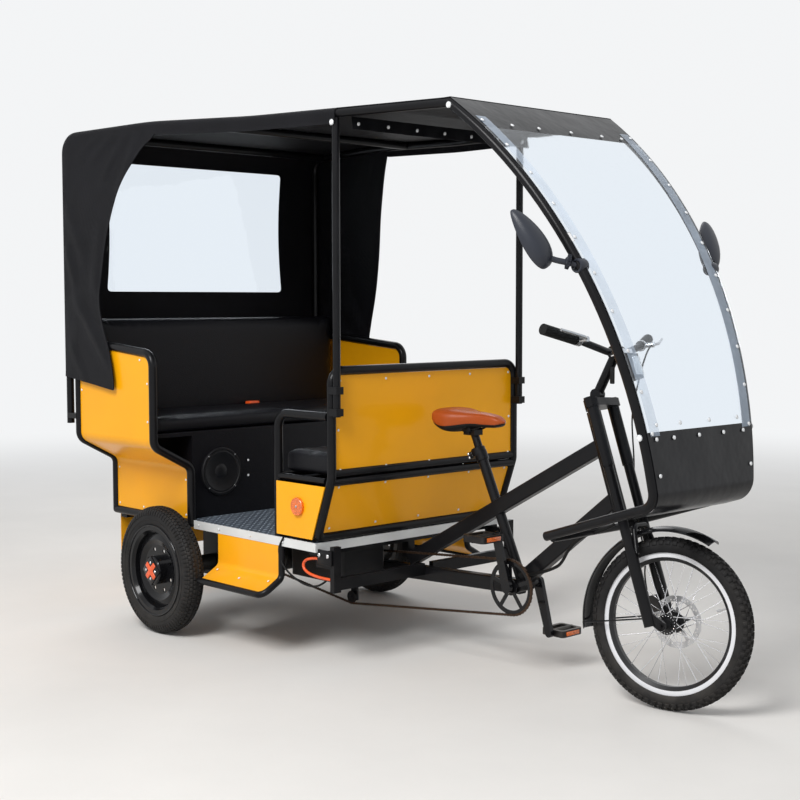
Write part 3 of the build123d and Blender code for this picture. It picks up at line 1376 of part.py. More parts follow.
# Crankset: ring with five arms, spindle and cranks; each pedal turns on its own pin
RING_R = 88
CHAIN_H = 8
CHAIN_W = 7
CRANK_Y = 76
CRANK_THICK = 14
PEDAL_IN = CRANK_Y + CRANK_THICK / 2 + RUNNING_GAP
PEDAL_W = 100
PEDAL_PIN = 6
turned = radians(CRANK_ANGLE)
crank_tip = Vector(ahead(BRACKET_X) + CRANK_LENGTH * cos(turned), 0, BRACKET_Z + CRANK_LENGTH * sin(turned))
low_tip = Vector(ahead(BRACKET_X) - CRANK_LENGTH * cos(turned), 0, BRACKET_Z - CRANK_LENGTH * sin(turned))
TIPS = {-1: crank_tip, 1: low_tip}
with BuildPart() as crankset:
    rod((ahead(BRACKET_X), -CRANK_Y, BRACKET_Z), (ahead(BRACKET_X), CRANK_Y, BRACKET_Z), 2 * SPINDLE_R)
    with BuildSketch(Plane.XZ.offset(-DRIVE_Y - 1.5)) as ring:
        with Locations((ahead(BRACKET_X), BRACKET_Z)):
            Circle(RING_R)
            Circle(RING_R - 14, mode=Mode.SUBTRACT)
            with PolarLocations(0, 5, start_angle=20):
                with Locations((RING_R / 2, 0)):
                    Rectangle(RING_R - 8, 13)
            Circle(26)
    extrude(ring.sketch, amount=3)
    for side, word in SIDES:
        tip = TIPS[side] + Vector(0, side * CRANK_Y, 0)
        root = Vector(ahead(BRACKET_X), side * CRANK_Y, BRACKET_Z)
        with BuildSketch(Plane.XZ.offset(-side * CRANK_Y - CRANK_THICK / 2)) as arm:
            with Locations((root.X, root.Z)):
                Circle(18)
            with Locations((tip.X, tip.Z)):
                Circle(13)
            make_hull()
        extrude(arm.sketch, amount=CRANK_THICK)
        rod(tip, TIPS[side] + Vector(0, side * (PEDAL_IN + PEDAL_W - 8), 0), 2 * PEDAL_PIN)
save(crankset.part, "crankset")

for side, word in SIDES:
    tip = TIPS[side]
    with BuildPart() as pedal:
        with BuildSketch(Plane(origin=tip, x_dir=(1, 0, 0), z_dir=(0, 0, 1)).offset(-11)) as cage:
            with Locations((0, side * (PEDAL_IN + PEDAL_W / 2))):
                RectangleRounded(92, PEDAL_W, 12)
                RectangleRounded(68, PEDAL_W - 24, 8, mode=Mode.SUBTRACT)
        extrude(cage.sketch, amount=22)
        rod(tip + Vector(0, side * PEDAL_IN, 0), tip + Vector(0, side * (PEDAL_IN + PEDAL_W), 0), 24)
        rod(
            tip + Vector(0, side * (PEDAL_IN - 1), 0),
            tip + Vector(0, side * (PEDAL_IN + PEDAL_W - 6), 0),
            2 * PEDAL_PIN + 1,
            Mode.SUBTRACT,
        )
    save(pedal.part, f"pedal_{word}")

# Chain: a band round the chainring, the axle's sprocket and the tensioner's pulley
CHAIN_ROUND = [
    (ahead(BRACKET_X), BRACKET_Z, RING_R + 1),
    (ahead(0), REAR_TYRE_R, SPROCKET_R + 1),
    (ahead(PULLEY_X), PULLEY_Z, PULLEY_R + 1),
]


def chain_band(grow):
    """The outline of the chain round its three wheels, grown by this much."""
    with BuildSketch(Plane.XZ.offset(-DRIVE_Y - CHAIN_W / 2)) as band:
        for x, z, radius in CHAIN_ROUND:
            with Locations((x, z)):
                Circle(radius + grow)
        make_hull()
    return band.sketch


with BuildPart() as chain:
    extrude(chain_band(CHAIN_H), amount=CHAIN_W)
    extrude(chain_band(0), amount=CHAIN_W, mode=Mode.SUBTRACT)
save(chain.part, "chain")

# Battery box under the floor's cross member
BATTERY_TOP = RAIL_TOP - CROSS_H - FIT
BATTERY_H = 125
with BuildPart() as battery_box:
    slab((ahead(435), -275, BATTERY_TOP - BATTERY_H), (ahead(715), -78, BATTERY_TOP))
    fillet(battery_box.edges().filter_by(Axis.Z), 15)
save(battery_box.part, "battery_box")

# Power cable: a loop behind the outrigger's plate on the right, from the battery's feed
POWER_CABLE = 10
PLATE_BACK = PLATE_REAR - FIT
POWER_POINTS = [
    (ahead(PLATE_BACK), -424, 360),
    (ahead(PLATE_BACK - 139), -426, 363),
    (ahead(PLATE_BACK - 139), -429, 293),
    (ahead(PLATE_BACK), -426, 297),
]
with BuildPart() as cable_power:
    tube(POWER_POINTS, POWER_CABLE, cord_radii(POWER_POINTS))
save(cable_power.part, "cable_power")

# Brake cable, in the steering frame: from the left lever down beside the left leg to the caliper
BRAKE_CABLE = 5
BRAKE_POINTS = [
    (147.1, 206.8, 841.7),
    (156, 167, 830),
    (150, 125, 795),
    (132, 98, 742),
    (104, 86, 686),
    (78, 84, 628),
    (60, 90, 566),
    (44, 96, 506),
    (26, 96, 446),
    (12, 90, 386),
    (7, 84, 324),
    (8, 80, 262),
    (5, 76, 200),
    (-5, 53, 146),
    (-5, 50, 92.4),
]
with BuildPart() as cable_brake:
    tube(BRAKE_POINTS, BRAKE_CABLE, cord_radii(BRAKE_POINTS))
steered(cable_brake.part, "cable_brake")
print("power cable", cord_radii(POWER_POINTS), "brake cable", cord_radii(BRAKE_POINTS))
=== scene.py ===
# %% [markdown]
# A passenger tricycle, dressed for a render.
# The CAD model is the fixed skeleton: every tube, panel and wheel already sits at its real place.
# This script gives each surface its finish and adds what CAD leaves out: tyre blocks, padding,
# the hanging cloth, snaps, screws and cables. All lengths are in metres.

import json
from math import atan2, cos, hypot, pi, radians, sin, sqrt

import bmesh
import bpy
from mathutils import Matrix, Vector, noise


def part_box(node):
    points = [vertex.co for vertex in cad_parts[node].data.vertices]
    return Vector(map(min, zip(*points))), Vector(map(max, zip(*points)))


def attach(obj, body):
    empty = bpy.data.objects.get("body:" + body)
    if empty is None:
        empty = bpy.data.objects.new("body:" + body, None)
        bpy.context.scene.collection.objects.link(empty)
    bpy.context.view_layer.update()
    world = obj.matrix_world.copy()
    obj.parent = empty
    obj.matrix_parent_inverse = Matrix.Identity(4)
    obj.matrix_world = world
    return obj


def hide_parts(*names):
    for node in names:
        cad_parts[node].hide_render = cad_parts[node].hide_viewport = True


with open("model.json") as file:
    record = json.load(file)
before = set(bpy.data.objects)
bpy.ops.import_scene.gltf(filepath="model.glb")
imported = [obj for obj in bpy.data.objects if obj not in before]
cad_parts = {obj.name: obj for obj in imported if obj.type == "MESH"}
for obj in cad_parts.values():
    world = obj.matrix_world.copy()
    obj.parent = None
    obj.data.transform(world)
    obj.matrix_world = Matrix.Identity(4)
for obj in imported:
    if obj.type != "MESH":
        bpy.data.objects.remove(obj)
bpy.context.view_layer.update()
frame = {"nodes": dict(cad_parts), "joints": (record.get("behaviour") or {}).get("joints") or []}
scene = bpy.context.scene

# %% [markdown]
# The camera stands where the reference view is taken: ahead of the tricycle on its right side,
# at chest height, looking slightly down. Its place and angles were solved from straight edges
# in the reference, so the render can be laid over it.

# %% Camera
MID_LENGTH = 0.80336  # how far the model's origin lies ahead of the rear axle
CAMERA_AT = (4.288 - MID_LENGTH, -3.362, 1.1969)
CAMERA_YAW = 46.81
CAMERA_PITCH = -3.97
CAMERA_ROLL = -0.09
PICTURE_SIZE = 800
FOCAL_PIXELS = 1410.1

camera_data = bpy.data.cameras.new("camera")
camera_data.sensor_width = 36
camera_data.lens = FOCAL_PIXELS * camera_data.sensor_width / PICTURE_SIZE
camera = bpy.data.objects.new("camera", camera_data)
scene.collection.objects.link(camera)
turn = (
    Matrix.Rotation(radians(CAMERA_YAW), 4, "Z")
    @ Matrix.Rotation(radians(90 + CAMERA_PITCH), 4, "X")
    @ Matrix.Rotation(radians(CAMERA_ROLL), 4, "Z")
)
camera.matrix_world = Matrix.Translation(CAMERA_AT) @ turn
scene.camera = camera
print("lens", round(camera_data.lens, 2), "mm")

# %% [markdown]
# The world and every finish are node trees, in which each node takes numbers, colours or
# normals from the nodes before it. These helpers add a node, wire or set its sockets and give
# back its output, so that a finish can be written as a few plain steps.

# %% Node helpers


def node(tree, kind, settings=None, **values):
    """A node with its properties and its unlinked sockets set by name."""
    made = tree.nodes.new(kind)
    for key, value in (settings or {}).items():
        setattr(made, key, value)
    for key, value in values.items():
        made.inputs[key.replace("_", " ")].default_value = value
    return made


def feed(tree, socket, value):
    """Wire an output into a socket, or set the socket to a plain value."""
    if isinstance(value, bpy.types.NodeSocket):
        tree.links.new(value, socket)
    else:
        socket.default_value = value


def math_node(tree, operation, first, second):
    """A Math node fed by outputs or plain numbers."""
    made = node(tree, "ShaderNodeMath", {"operation": operation})
    feed(tree, made.inputs[0], first)
    feed(tree, made.inputs[1], second)
    return made.outputs[0]


def ramp(tree, value, from_low, from_high, to_low=0.0, to_high=1.0, kind="LINEAR"):
    """Carry a value from one range over to another, held at both ends."""
    made = node(tree, "ShaderNodeMapRange", {"interpolation_type": kind})
    sockets = {
        "Value": value,
        "From Min": from_low,
        "From Max": from_high,
        "To Min": to_low,
        "To Max": to_high,
    }
    for name, setting in sockets.items():
        feed(tree, made.inputs[name], setting)
    return made.outputs[0]


def blend(tree, share, first, second, mode="MIX"):
    """Mix two colours by a share."""
    made = node(tree, "ShaderNodeMix", {"data_type": "RGBA", "blend_type": mode})
    for slot, value in zip((0, 6, 7), (share, first, second)):
        feed(tree, made.inputs[slot], value)
    return made.outputs[2]


def blend_shaders(tree, share, first, second, output):
    """Send a mix of two shaders to the tree's output."""
    made = node(tree, "ShaderNodeMixShader")
    for slot, value in zip(made.inputs, (share, first, second)):
        feed(tree, slot, value)
    feed(tree, output.inputs["Surface"], made.outputs[0])


def split(tree, vector):
    """The coordinates of a vector, by their letters."""
    made = node(tree, "ShaderNodeSeparateXYZ")
    feed(tree, made.inputs[0], vector)
    return made.outputs


def object_place(tree):
    """Coordinates that stay with the object, in metres."""
    return node(tree, "ShaderNodeTexCoord").outputs["Object"]


def noise_of(tree, scale, detail=4.0, roughness=0.5):
    """Cloudy noise on the object's own coordinates."""
    cloud = node(tree, "ShaderNodeTexNoise", Scale=scale, Detail=detail, Roughness=roughness)
    feed(tree, cloud.inputs["Vector"], object_place(tree))
    return cloud.outputs["Fac"]


def looked_at(tree):
    """1 for a ray that looks, straight, by a reflection or through clear sheet, and else 0."""
    rays = node(tree, "ShaderNodeLightPath").outputs
    seen = math_node(tree, "MAXIMUM", rays["Is Camera Ray"], rays["Is Glossy Ray"])
    return math_node(tree, "MAXIMUM", seen, rays["Is Transmission Ray"])


print("node helpers are ready")

# %% [markdown]
# The light is that of a bright overcast day: a wide soft lamp overhead and in front, a weaker
# one from the rear left, and an even pale world. Reflections see a brighter world than the
# diffuse light does, so paint and clear sheet get clean highlights without washing out.

# %% Light, world and floor
SKY_LIGHT = (0.93, 0.96, 1.0, 1)
SKY_STRENGTH = 0.46
SKY_SHOWN = (0.90, 0.91, 0.92, 1)


def area_lamp(name, place, aim, size, power):
    """A square soft lamp that points from one place at another."""
    data = bpy.data.lights.new(name, "AREA")
    data.size = size
    data.energy = power
    lamp = bpy.data.objects.new(name, data)
    lamp.location = place
    lamp.rotation_euler = (Vector(aim) - Vector(place)).to_track_quat("-Z", "Y").to_euler()
    scene.collection.objects.link(lamp)


area_lamp("key_lamp", (1.2, -4.3, 4.7), (0, 0, 0.8), 2.4, 290)
area_lamp("rear_lamp", (-3.6, 2.6, 3.8), (0, 0, 0.8), 3.0, 60)

world = bpy.data.worlds.new("pale_sky")
scene.world = world
world.use_nodes = True
sky = world.node_tree
sky.nodes.clear()
lighting = node(sky, "ShaderNodeBackground", Color=SKY_LIGHT, Strength=SKY_STRENGTH)
shown = node(sky, "ShaderNodeBackground", Color=SKY_SHOWN, Strength=1.0)
sky_output = node(sky, "ShaderNodeOutputWorld")
blend_shaders(sky, looked_at(sky), lighting.outputs[0], shown.outputs[0], sky_output)
scene.view_settings.view_transform = "Standard"

bpy.ops.object.select_all(action="DESELECT")
bpy.ops.mesh.primitive_plane_add(size=60, location=(0, 0, 0))
floor = bpy.context.object
floor.name = "ground"
print("lamps, world and floor are set")

# %% [markdown]
# Every finish here is procedural. Three effects come back in many of them, so each is built
# once as a shader node group: fine grain for leather, vinyl and moulded plastic, a woven
# pattern for cloth, and dust that lies on surfaces facing up and near the ground.

# %% Shared node groups
NUMBER, COLOUR = "NodeSocketFloat", "NodeSocketColor"


def new_group(name, inputs, outputs):
    """An empty node group with named inputs, each with its value, and named outputs."""
    group = bpy.data.node_groups.new(name, "ShaderNodeTree")
    for socket, kind, value in inputs:
        item = group.interface.new_socket(name=socket, in_out="INPUT", socket_type=kind)
        item.default_value = value
    for socket, kind in outputs:
        group.interface.new_socket(name=socket, in_out="OUTPUT", socket_type=kind)
    return group, node(group, "NodeGroupInput").outputs, node(group, "NodeGroupOutput").inputs


grain_group, takes, gives = new_group(
    "grain",
    [("Scale", NUMBER, 300.0), ("Mottle", NUMBER, 0.1)],
    [("Height", NUMBER), ("Tone", NUMBER)],
)
pebble = node(grain_group, "ShaderNodeTexVoronoi", {"feature": "SMOOTH_F1"})
feed(grain_group, pebble.inputs["Vector"], object_place(grain_group))
feed(grain_group, pebble.inputs["Scale"], takes["Scale"])
feed(grain_group, gives["Height"], pebble.outputs["Distance"])
swing = math_node(grain_group, "SUBTRACT", noise_of(grain_group, 6.0, 5.0), 0.5)
swing = math_node(grain_group, "MULTIPLY", swing, takes["Mottle"])
feed(grain_group, gives["Tone"], math_node(grain_group, "ADD", swing, 1.0))

weave_group, takes, gives = new_group(
    "weave", [("Threads", NUMBER, 900.0)], [("Height", NUMBER), ("Tone", NUMBER)]
)
place = split(weave_group, object_place(weave_group))
waves = {}
for axis in "XYZ":
    threads = math_node(weave_group, "MULTIPLY", place[axis], takes["Threads"])
    waves[axis] = math_node(weave_group, "SINE", threads, 0.0)
crossed = [math_node(weave_group, "MULTIPLY", waves[a], waves[b]) for a, b in ("XZ", "YZ", "XY")]
total = math_node(weave_group, "ADD", crossed[0], crossed[1])
feed(weave_group, gives["Height"], math_node(weave_group, "ADD", total, crossed[2]))
feed(weave_group, gives["Tone"], noise_of(weave_group, 9.0, 6.0, 0.65))

dust_group, takes, gives = new_group(
    "dust",
    [
        ("Color", COLOUR, (0.5, 0.5, 0.5, 1)),
        ("Dust Color", COLOUR, (0.36, 0.32, 0.27, 1)),
        ("Amount", NUMBER, 0.3),
        ("Reach", NUMBER, 0.6),
    ],
    [("Color", COLOUR), ("Mask", NUMBER)],
)
height = split(dust_group, object_place(dust_group))["Z"]
normal = node(dust_group, "ShaderNodeNewGeometry").outputs["Normal"]
low = ramp(dust_group, height, 0.0, takes["Reach"], 1.0, 0.0)
up = ramp(dust_group, split(dust_group, normal)["Z"], -0.3, 1.0, 0.25)
speck = ramp(dust_group, noise_of(dust_group, 14.0, 7.0, 0.7), 0.25, 0.85)
mask = low
for share in (up, speck, takes["Amount"]):
    mask = math_node(dust_group, "MULTIPLY", mask, share)
dusty = blend(dust_group, mask, takes["Color"], takes["Dust Color"])
feed(dust_group, gives["Color"], dusty)
feed(dust_group, gives["Mask"], mask)
print("node groups:", [group.name for group in bpy.data.node_groups])

# %% [markdown]
# A finish is one Principled shader with the detail that its real surface shows: a colour that
# varies a little, a roughness, and a bump. Uniform numbers sit on the shader's own sockets,
# because an exported model keeps those. Most finishes here are one of two kinds, with cloudy
# noise or with the shared grain, so each kind has its function, and a finish is one call.

# %% Helpers for finishes


def finish_of(
    name, color, roughness, metallic=0.0, coat=0.0, coat_roughness=0.1, sheen=0.0, gloss=0.5
):
    """A new material with one Principled shader; returns the material, its tree and shader."""
    made = bpy.data.materials.new(name)
    made.use_nodes = True
    made.diffuse_color = (*color, 1)
    shader = made.node_tree.nodes["Principled BSDF"]
    sockets = {
        "Base Color": (*color, 1),
        "Roughness": roughness,
        "Metallic": metallic,
        "Coat Weight": coat,
        "Coat Roughness": coat_roughness,
        "Sheen Weight": sheen,
        "Specular IOR Level": gloss,
    }
    for socket, value in sockets.items():
        shader.inputs[socket].default_value = value
    return made, made.node_tree, shader


def add_bump(tree, shader, height, distance):
    """Feed a height into the shader's normal through one Bump node, in metres."""
    bump = node(tree, "ShaderNodeBump", Strength=1.0, Distance=distance)
    feed(tree, bump.inputs["Height"], height)
    feed(tree, shader.inputs["Normal"], bump.outputs["Normal"])


def add_tone(tree, shader, color, tone, depth):
    """Vary a base colour: the tone darkens and lightens it by this depth."""
    vary = ramp(tree, tone, 0.25, 0.75, 1 - depth, 1 + depth)
    varied = blend(tree, 1.0, (*color, 1), vary, "MULTIPLY")
    feed(tree, shader.inputs["Base Color"], varied)
    return varied


def add_dust(tree, shader, color, amount, reach, rough_gain=0.3):
    """Lay dust over a colour and roughen the surface where it lies."""
    dust = node(
        tree, "ShaderNodeGroup", {"node_tree": dust_group}, Amount=amount, Reach=reach
    )
    feed(tree, dust.inputs["Color"], color)
    feed(tree, shader.inputs["Base Color"], dust.outputs["Color"])
    clean = shader.inputs["Roughness"].default_value
    rough = ramp(tree, dust.outputs["Mask"], 0.0, 1.0, clean, min(1.0, clean + rough_gain))
    feed(tree, shader.inputs["Roughness"], rough)


def cloudy(name, color, roughness, tone, depth, bump, dust=None, **shine):
    """A finish with cloudy tone (scale, detail, roughness) and bump (scale, ..., distance)."""
    made, tree, shader = finish_of(name, color, roughness, **shine)
    varied = add_tone(tree, shader, color, noise_of(tree, *tone), depth)
    if dust:
        add_dust(tree, shader, varied, *dust)
    *cloud, distance = bump
    add_bump(tree, shader, noise_of(tree, *cloud), distance)
    return made


def grained(name, color, roughness, scale, mottle, depth, distance, dust=None, **shine):
    """A finish with the shared grain as its tone and its bump."""
    made, tree, shader = finish_of(name, color, roughness, **shine)
    grain = node(
        tree, "ShaderNodeGroup", {"node_tree": grain_group}, Scale=scale, Mottle=mottle
    )
    varied = add_tone(tree, shader, color, grain.outputs["Tone"], depth)
    if dust:
        add_dust(tree, shader, varied, *dust)
    add_bump(tree, shader, grain.outputs["Height"], distance)
    return made


print("finish helpers are ready")

# %% [markdown]
# Paint. The panels are folded sheet with a thick, glossy yellow-orange coat, slightly uneven
# as sprayed paint is. The tubes are powder coated in black, which shows a fine orange peel.

# %% Painted finishes
YELLOW = (0.97, 0.42, 0.004)
BLACK = (0.006, 0.006, 0.007)
WHITE = (0.74, 0.75, 0.74)

yellow_paint = cloudy(
    "yellow_paint", YELLOW, 0.3, (3.0,), 0.06, (420.0, 0.00004), (0.25, 0.75, 0.2),
    coat=0.12, coat_roughness=0.06, gloss=0.2,
)
black_paint = cloudy(
    "black_paint", BLACK, 0.3, (7.0,), 0.25, (520.0, 0.00008), (0.03, 0.7),
    coat=0.1, coat_roughness=0.08, gloss=0.12,
)
white_paint = cloudy(
    "white_paint", WHITE, 0.34, (6.0, 8.0), 0.08, (200.0, 0.00005), (0.5, 0.9), coat=0.3
)
print("paints are ready")

# %% [markdown]
# The floor is aluminium tread plate: short raised bars in pairs that turn by a quarter from
# cell to cell. Two crossing waves give the bars: each bar is narrow across one wave and long
# on the other, and turning both waves over gives the bars of the cells between. The flat
# plate between the bars has painted shade: a darker copy of the alloy's colour.

# %% Tread plate
TREAD_CELL = 0.026
TREAD_ALLOY = (0.60, 0.70, 0.82)
# The alloy's colour darkened, painted as shade on the flat plate between the raised bars
TREAD_PAINTED_SHADE = (0.09, 0.115, 0.15, 1)

tread_plate, tree, shader = finish_of("tread_plate", TREAD_ALLOY, 0.36, metallic=0.3)
place = split(tree, object_place(tree))


def cell_wave(sign):
    """A wave that peaks along one diagonal of the cells."""
    along = math_node(tree, "ADD", place["X"], math_node(tree, "MULTIPLY", place["Y"], sign))
    return math_node(tree, "COSINE", math_node(tree, "MULTIPLY", along, pi / TREAD_CELL), 0.0)


def bars_of(narrow, long):
    """Bars that are narrow across one wave and long on the other."""
    sharp = math_node(tree, "POWER", math_node(tree, "MAXIMUM", narrow, 0.0), 9.0)
    return math_node(tree, "MULTIPLY", sharp, math_node(tree, "MAXIMUM", long, 0.0))


rising, falling = cell_wave(1.0), cell_wave(-1.0)
rising_turned = math_node(tree, "MULTIPLY", rising, -1.0)
falling_turned = math_node(tree, "MULTIPLY", falling, -1.0)
bars = math_node(
    tree, "MAXIMUM", bars_of(rising, falling), bars_of(falling_turned, rising_turned)
)
raised = ramp(tree, bars, 0.12, 0.4, kind="SMOOTHSTEP")
tone = add_tone(tree, shader, TREAD_ALLOY, noise_of(tree, 12.0, 8.0, 0.7), 0.3)
# Painted shade: the flat plate between the raised bars gets the darkened alloy colour, and dust
# lies over both
add_dust(tree, shader, blend(tree, raised, TREAD_PAINTED_SHADE, tone), 0.15, 1.4)
add_bump(tree, shader, raised, 0.0015)
print("tread plate is ready")

# %% [markdown]
# Soft covers. The seats are padded with black vinyl that has a leather grain and a low shine.
# The canopy is coated cloth: nearly black, with a fine weave and soft creases. The saddle is
# brown leather with a coarser grain.

# %% Vinyl, cloth and leather
VINYL = (0.004, 0.004, 0.0055)
CLOTH = (0.005, 0.005, 0.0068)
LEATHER = (0.25, 0.046, 0.008)

black_vinyl = grained("black_vinyl", VINYL, 0.42, 420.0, 0.5, 0.2, 0.0006, gloss=0.2)
gloss_vinyl = cloudy(
    "gloss_vinyl", VINYL, 0.3, (5.0,), 0.3, (7.0, 3.0, 0.006),
    coat=0.12, coat_roughness=0.12, gloss=0.22,
)
brown_leather = grained(
    "brown_leather", LEATHER, 0.36, 560.0, 0.9, 0.45, 0.0005,
    coat=0.08, coat_roughness=0.2, gloss=0.18,
)
canopy_cloth, tree, shader = finish_of("canopy_cloth", CLOTH, 0.55, sheen=0.01, gloss=0.12)
weave = node(tree, "ShaderNodeGroup", {"node_tree": weave_group}, Threads=2200.0)
add_tone(tree, shader, CLOTH, weave.outputs["Tone"], 0.3)
add_bump(tree, shader, weave.outputs["Height"], 0.0002)
print("soft covers are ready")

# %% [markdown]
# Rubber, moulded plastic and metals. Tyres are dull and dusty near the tread, grips are
# clean rubber, and the plastic boxes have a pebbled mould grain. Bare metals are brushed:
# noise that is stretched along the tricycle makes fine streaks.

# %% Rubber, plastics and metals
RUBBER = (0.010, 0.010, 0.011)
SOFT_RUBBER = (0.006, 0.006, 0.006)
ORANGE = (0.85, 0.10, 0.012)

tyre_rubber = cloudy(
    "tyre_rubber", RUBBER, 0.6, (30.0, 6.0), 0.35, (380.0, 0.0002), (0.28, 0.62, 0.2), gloss=0.16
)
grip_rubber = cloudy(
    "grip_rubber", SOFT_RUBBER, 0.55, (60.0,), 0.3, (600.0, 0.0002), gloss=0.2
)
black_plastic = grained(
    "black_plastic", BLACK, 0.42, 700.0, 0.5, 0.2, 0.0003, (0.04, 0.7), gloss=0.25
)
gloss_black = cloudy(
    "gloss_black", BLACK, 0.18, (8.0,), 0.2, (90.0, 0.00005),
    coat=0.25, coat_roughness=0.04, gloss=0.15,
)
orange_plastic = cloudy(
    "orange_plastic", ORANGE, 0.35, (40.0,), 0.15, (500.0, 0.00015), coat=0.3
)


def brushed(name, color, roughness, depth=0.12, dust=0.0):
    """A bare metal with fine streaks along its length and a little tone."""
    made, tree, shader = finish_of(name, color, roughness, metallic=1.0)
    stretch = node(tree, "ShaderNodeMapping", Scale=(12, 160, 160))
    streak = node(tree, "ShaderNodeTexNoise", Scale=6.0, Detail=6.0)
    feed(tree, stretch.inputs["Vector"], object_place(tree))
    feed(tree, streak.inputs["Vector"], stretch.outputs[0])
    tone = add_tone(tree, shader, color, streak.outputs["Fac"], depth)
    if dust:
        add_dust(tree, shader, tone, dust, 0.6)
    add_bump(tree, shader, streak.outputs["Fac"], 0.00006)
    return made


steel = brushed("steel", (0.56, 0.56, 0.57), 0.28, dust=0.3)
bright_alloy = brushed("bright_alloy", (0.80, 0.80, 0.81), 0.2, dust=0.2)
oiled_steel = brushed("oiled_steel", (0.16, 0.15, 0.14), 0.38, 0.3, dust=0.5)
dark_cast = brushed("dark_cast", (0.03, 0.03, 0.032), 0.5, 0.3, dust=0.6)
print("rubber, plastics and metals are ready")

# %% [markdown]
# Clear pieces. The windscreen and the rear window are flexible clear sheet: it is never quite
# flat, so its reflections wander. Reflectors and lamps are moulded clear plastic in amber or
# with no colour, with small prisms behind the face.

# %% Clear sheet, amber and lens
clear_sheet, tree, shader = finish_of("clear_sheet", (0.88, 0.94, 1.0), 0.03)
shader.inputs["Transmission Weight"].default_value = 1.0
shader.inputs["IOR"].default_value = 1.35
add_bump(tree, shader, noise_of(tree, 5.0, 3.0), 0.0012)


def prismed(name, color, roughness, scale, depth, coat_roughness):
    """Moulded clear plastic with square prisms of this scale behind a glossy face."""
    made, tree, shader = finish_of(
        name, color, roughness, coat=1.0, coat_roughness=coat_roughness
    )
    prisms = node(tree, "ShaderNodeTexVoronoi", {"distance": "CHEBYCHEV"}, Scale=scale)
    feed(tree, prisms.inputs["Vector"], object_place(tree))
    add_tone(tree, shader, color, prisms.outputs["Distance"], depth)
    add_bump(tree, shader, prisms.outputs["Distance"], 0.0008)
    return made


amber = prismed("amber", (0.86, 0.16, 0.008), 0.2, 260.0, 0.35, 0.05)
lamp_lens = prismed("lamp_lens", (0.9, 0.92, 0.93), 0.12, 150.0, 0.2, 0.03)
print("clear finishes are ready")

# %% [markdown]
# The ground is pale and matt: warm grey, with faint cloudy stains. Far from the tricycle it
# fades into the colour of the sky, so no hard horizon cuts through the picture. Only rays that
# look at it see the fade, so it throws no light on the object.

# %% Floor finish
FADE_FROM, FADE_TO = 2.6, 9.0

pale_ground = cloudy(
    "pale_ground", (0.80, 0.775, 0.74), 0.8, (0.9, 9.0, 0.6), 0.05, (90.0, 0.0004), gloss=0.25
)
tree = pale_ground.node_tree
reach = node(tree, "ShaderNodeVectorMath", {"operation": "LENGTH"})
feed(tree, reach.inputs[0], object_place(tree))
away = ramp(tree, reach.outputs["Value"], FADE_FROM, FADE_TO, kind="SMOOTHSTEP")
haze = node(tree, "ShaderNodeEmission", Color=SKY_SHOWN)
blend_shaders(
    tree,
    math_node(tree, "MULTIPLY", away, looked_at(tree)),
    tree.nodes["Principled BSDF"].outputs[0],
    haze.outputs[0],
    tree.nodes["Material Output"],
)
floor.data.materials.append(pale_ground)
print("floor finish is on")

# %% [markdown]
# The CAD pieces keep their shapes and get their finishes. A piece with two finishes in one,
# such as a rim with a black inside, gets its own later.

# %% Finishes of the CAD pieces
FINISHES = {
    black_paint: (
        "main_frame underframe side_frame_right side_frame_left wall_frame jump_seat_rails "
        "step_rims canopy_posts roof_frame windscreen_hoop fork handlebar seat_post"
    ),
    yellow_paint: (
        "side_panel_right side_panel_left rear_panel wall_panels step_right step_left "
        "seat_box_sides rear_valance"
    ),
    tread_plate: "floor_plate",
    white_paint: "floor_trim",
    black_vinyl: "bench_box bench_cushion bench_backrest seat_box jump_seat_cushion",
    gloss_vinyl: "windscreen_header windscreen_skirt",
    canopy_cloth: "canopy_roof canopy_curtain",
    brown_leather: "saddle",
    tyre_rubber: "front_tyre rear_tyre_right rear_tyre_left",
    grip_rubber: "grips cable_brake",
    black_plastic: "speakers battery_box headlight brake_levers",
    gloss_black: "mirrors front_mudguard crankset front_hub rear_wheel_right rear_wheel_left",
    steel: "brake_disc",
    bright_alloy: "front_rim",
    oiled_steel: "chain",
    dark_cast: "rear_axle drive_motor brake_caliper pedal_right pedal_left",
    clear_sheet: "windscreen rear_window",
    amber: "reflectors",
    orange_plastic: "cable_power",
}


def put_finish(obj, finish):
    """Give the whole piece one finish."""
    obj.data.materials.clear()
    obj.data.materials.append(finish)


for finish, names in FINISHES.items():
    for name in names.split():
        put_finish(frame["nodes"][name], finish)
finished = " ".join(FINISHES.values()).split()
print("CAD pieces without a finish yet:", [n for n in frame["nodes"] if n not in finished])

# %% [markdown]
# Every new piece is modelled the way one would by hand: add a primitive at its size, shape it
# in edit mode, copy what repeats, and finish it. These helpers wrap the clicks that come back:
# clearing the selection, placing a copy, joining copies, and handing a finished piece to the
# body that carries it. STEER and FRONT_WHEEL are the frames of the parked steering.

# %% Modelling helpers
JOINTS = {joint["name"]: joint for joint in frame["joints"]}


def axes_at(origin, x_axis, y_axis, z_axis):
    """A frame from its origin and its three unit axes."""
    turn = Matrix((x_axis, y_axis, z_axis)).transposed().to_4x4()
    return Matrix.Translation(origin) @ turn


steer_up = Vector(JOINTS["steering_turn"]["axis"])
steer_left = Vector(JOINTS["front_wheel_spin"]["axis"])
steer_ahead = steer_left.cross(steer_up)
STEER, FRONT_WHEEL = [
    axes_at(Vector(JOINTS[joint]["pos_m"]), steer_ahead, steer_left, steer_up)
    for joint in ("steering_turn", "front_wheel_spin")
]


def ahead(distance):
    """X of a point this far ahead of the rear axle."""
    return distance - MID_LENGTH


def clear():
    """Go back to object mode with nothing selected, so that the next operator acts alone."""
    if bpy.context.object and bpy.context.object.mode != "OBJECT":
        bpy.ops.object.mode_set(mode="OBJECT")
    bpy.ops.object.select_all(action="DESELECT")


def pick(obj):
    """Select one object and make it active."""
    clear()
    obj.select_set(True)
    bpy.context.view_layer.objects.active = obj


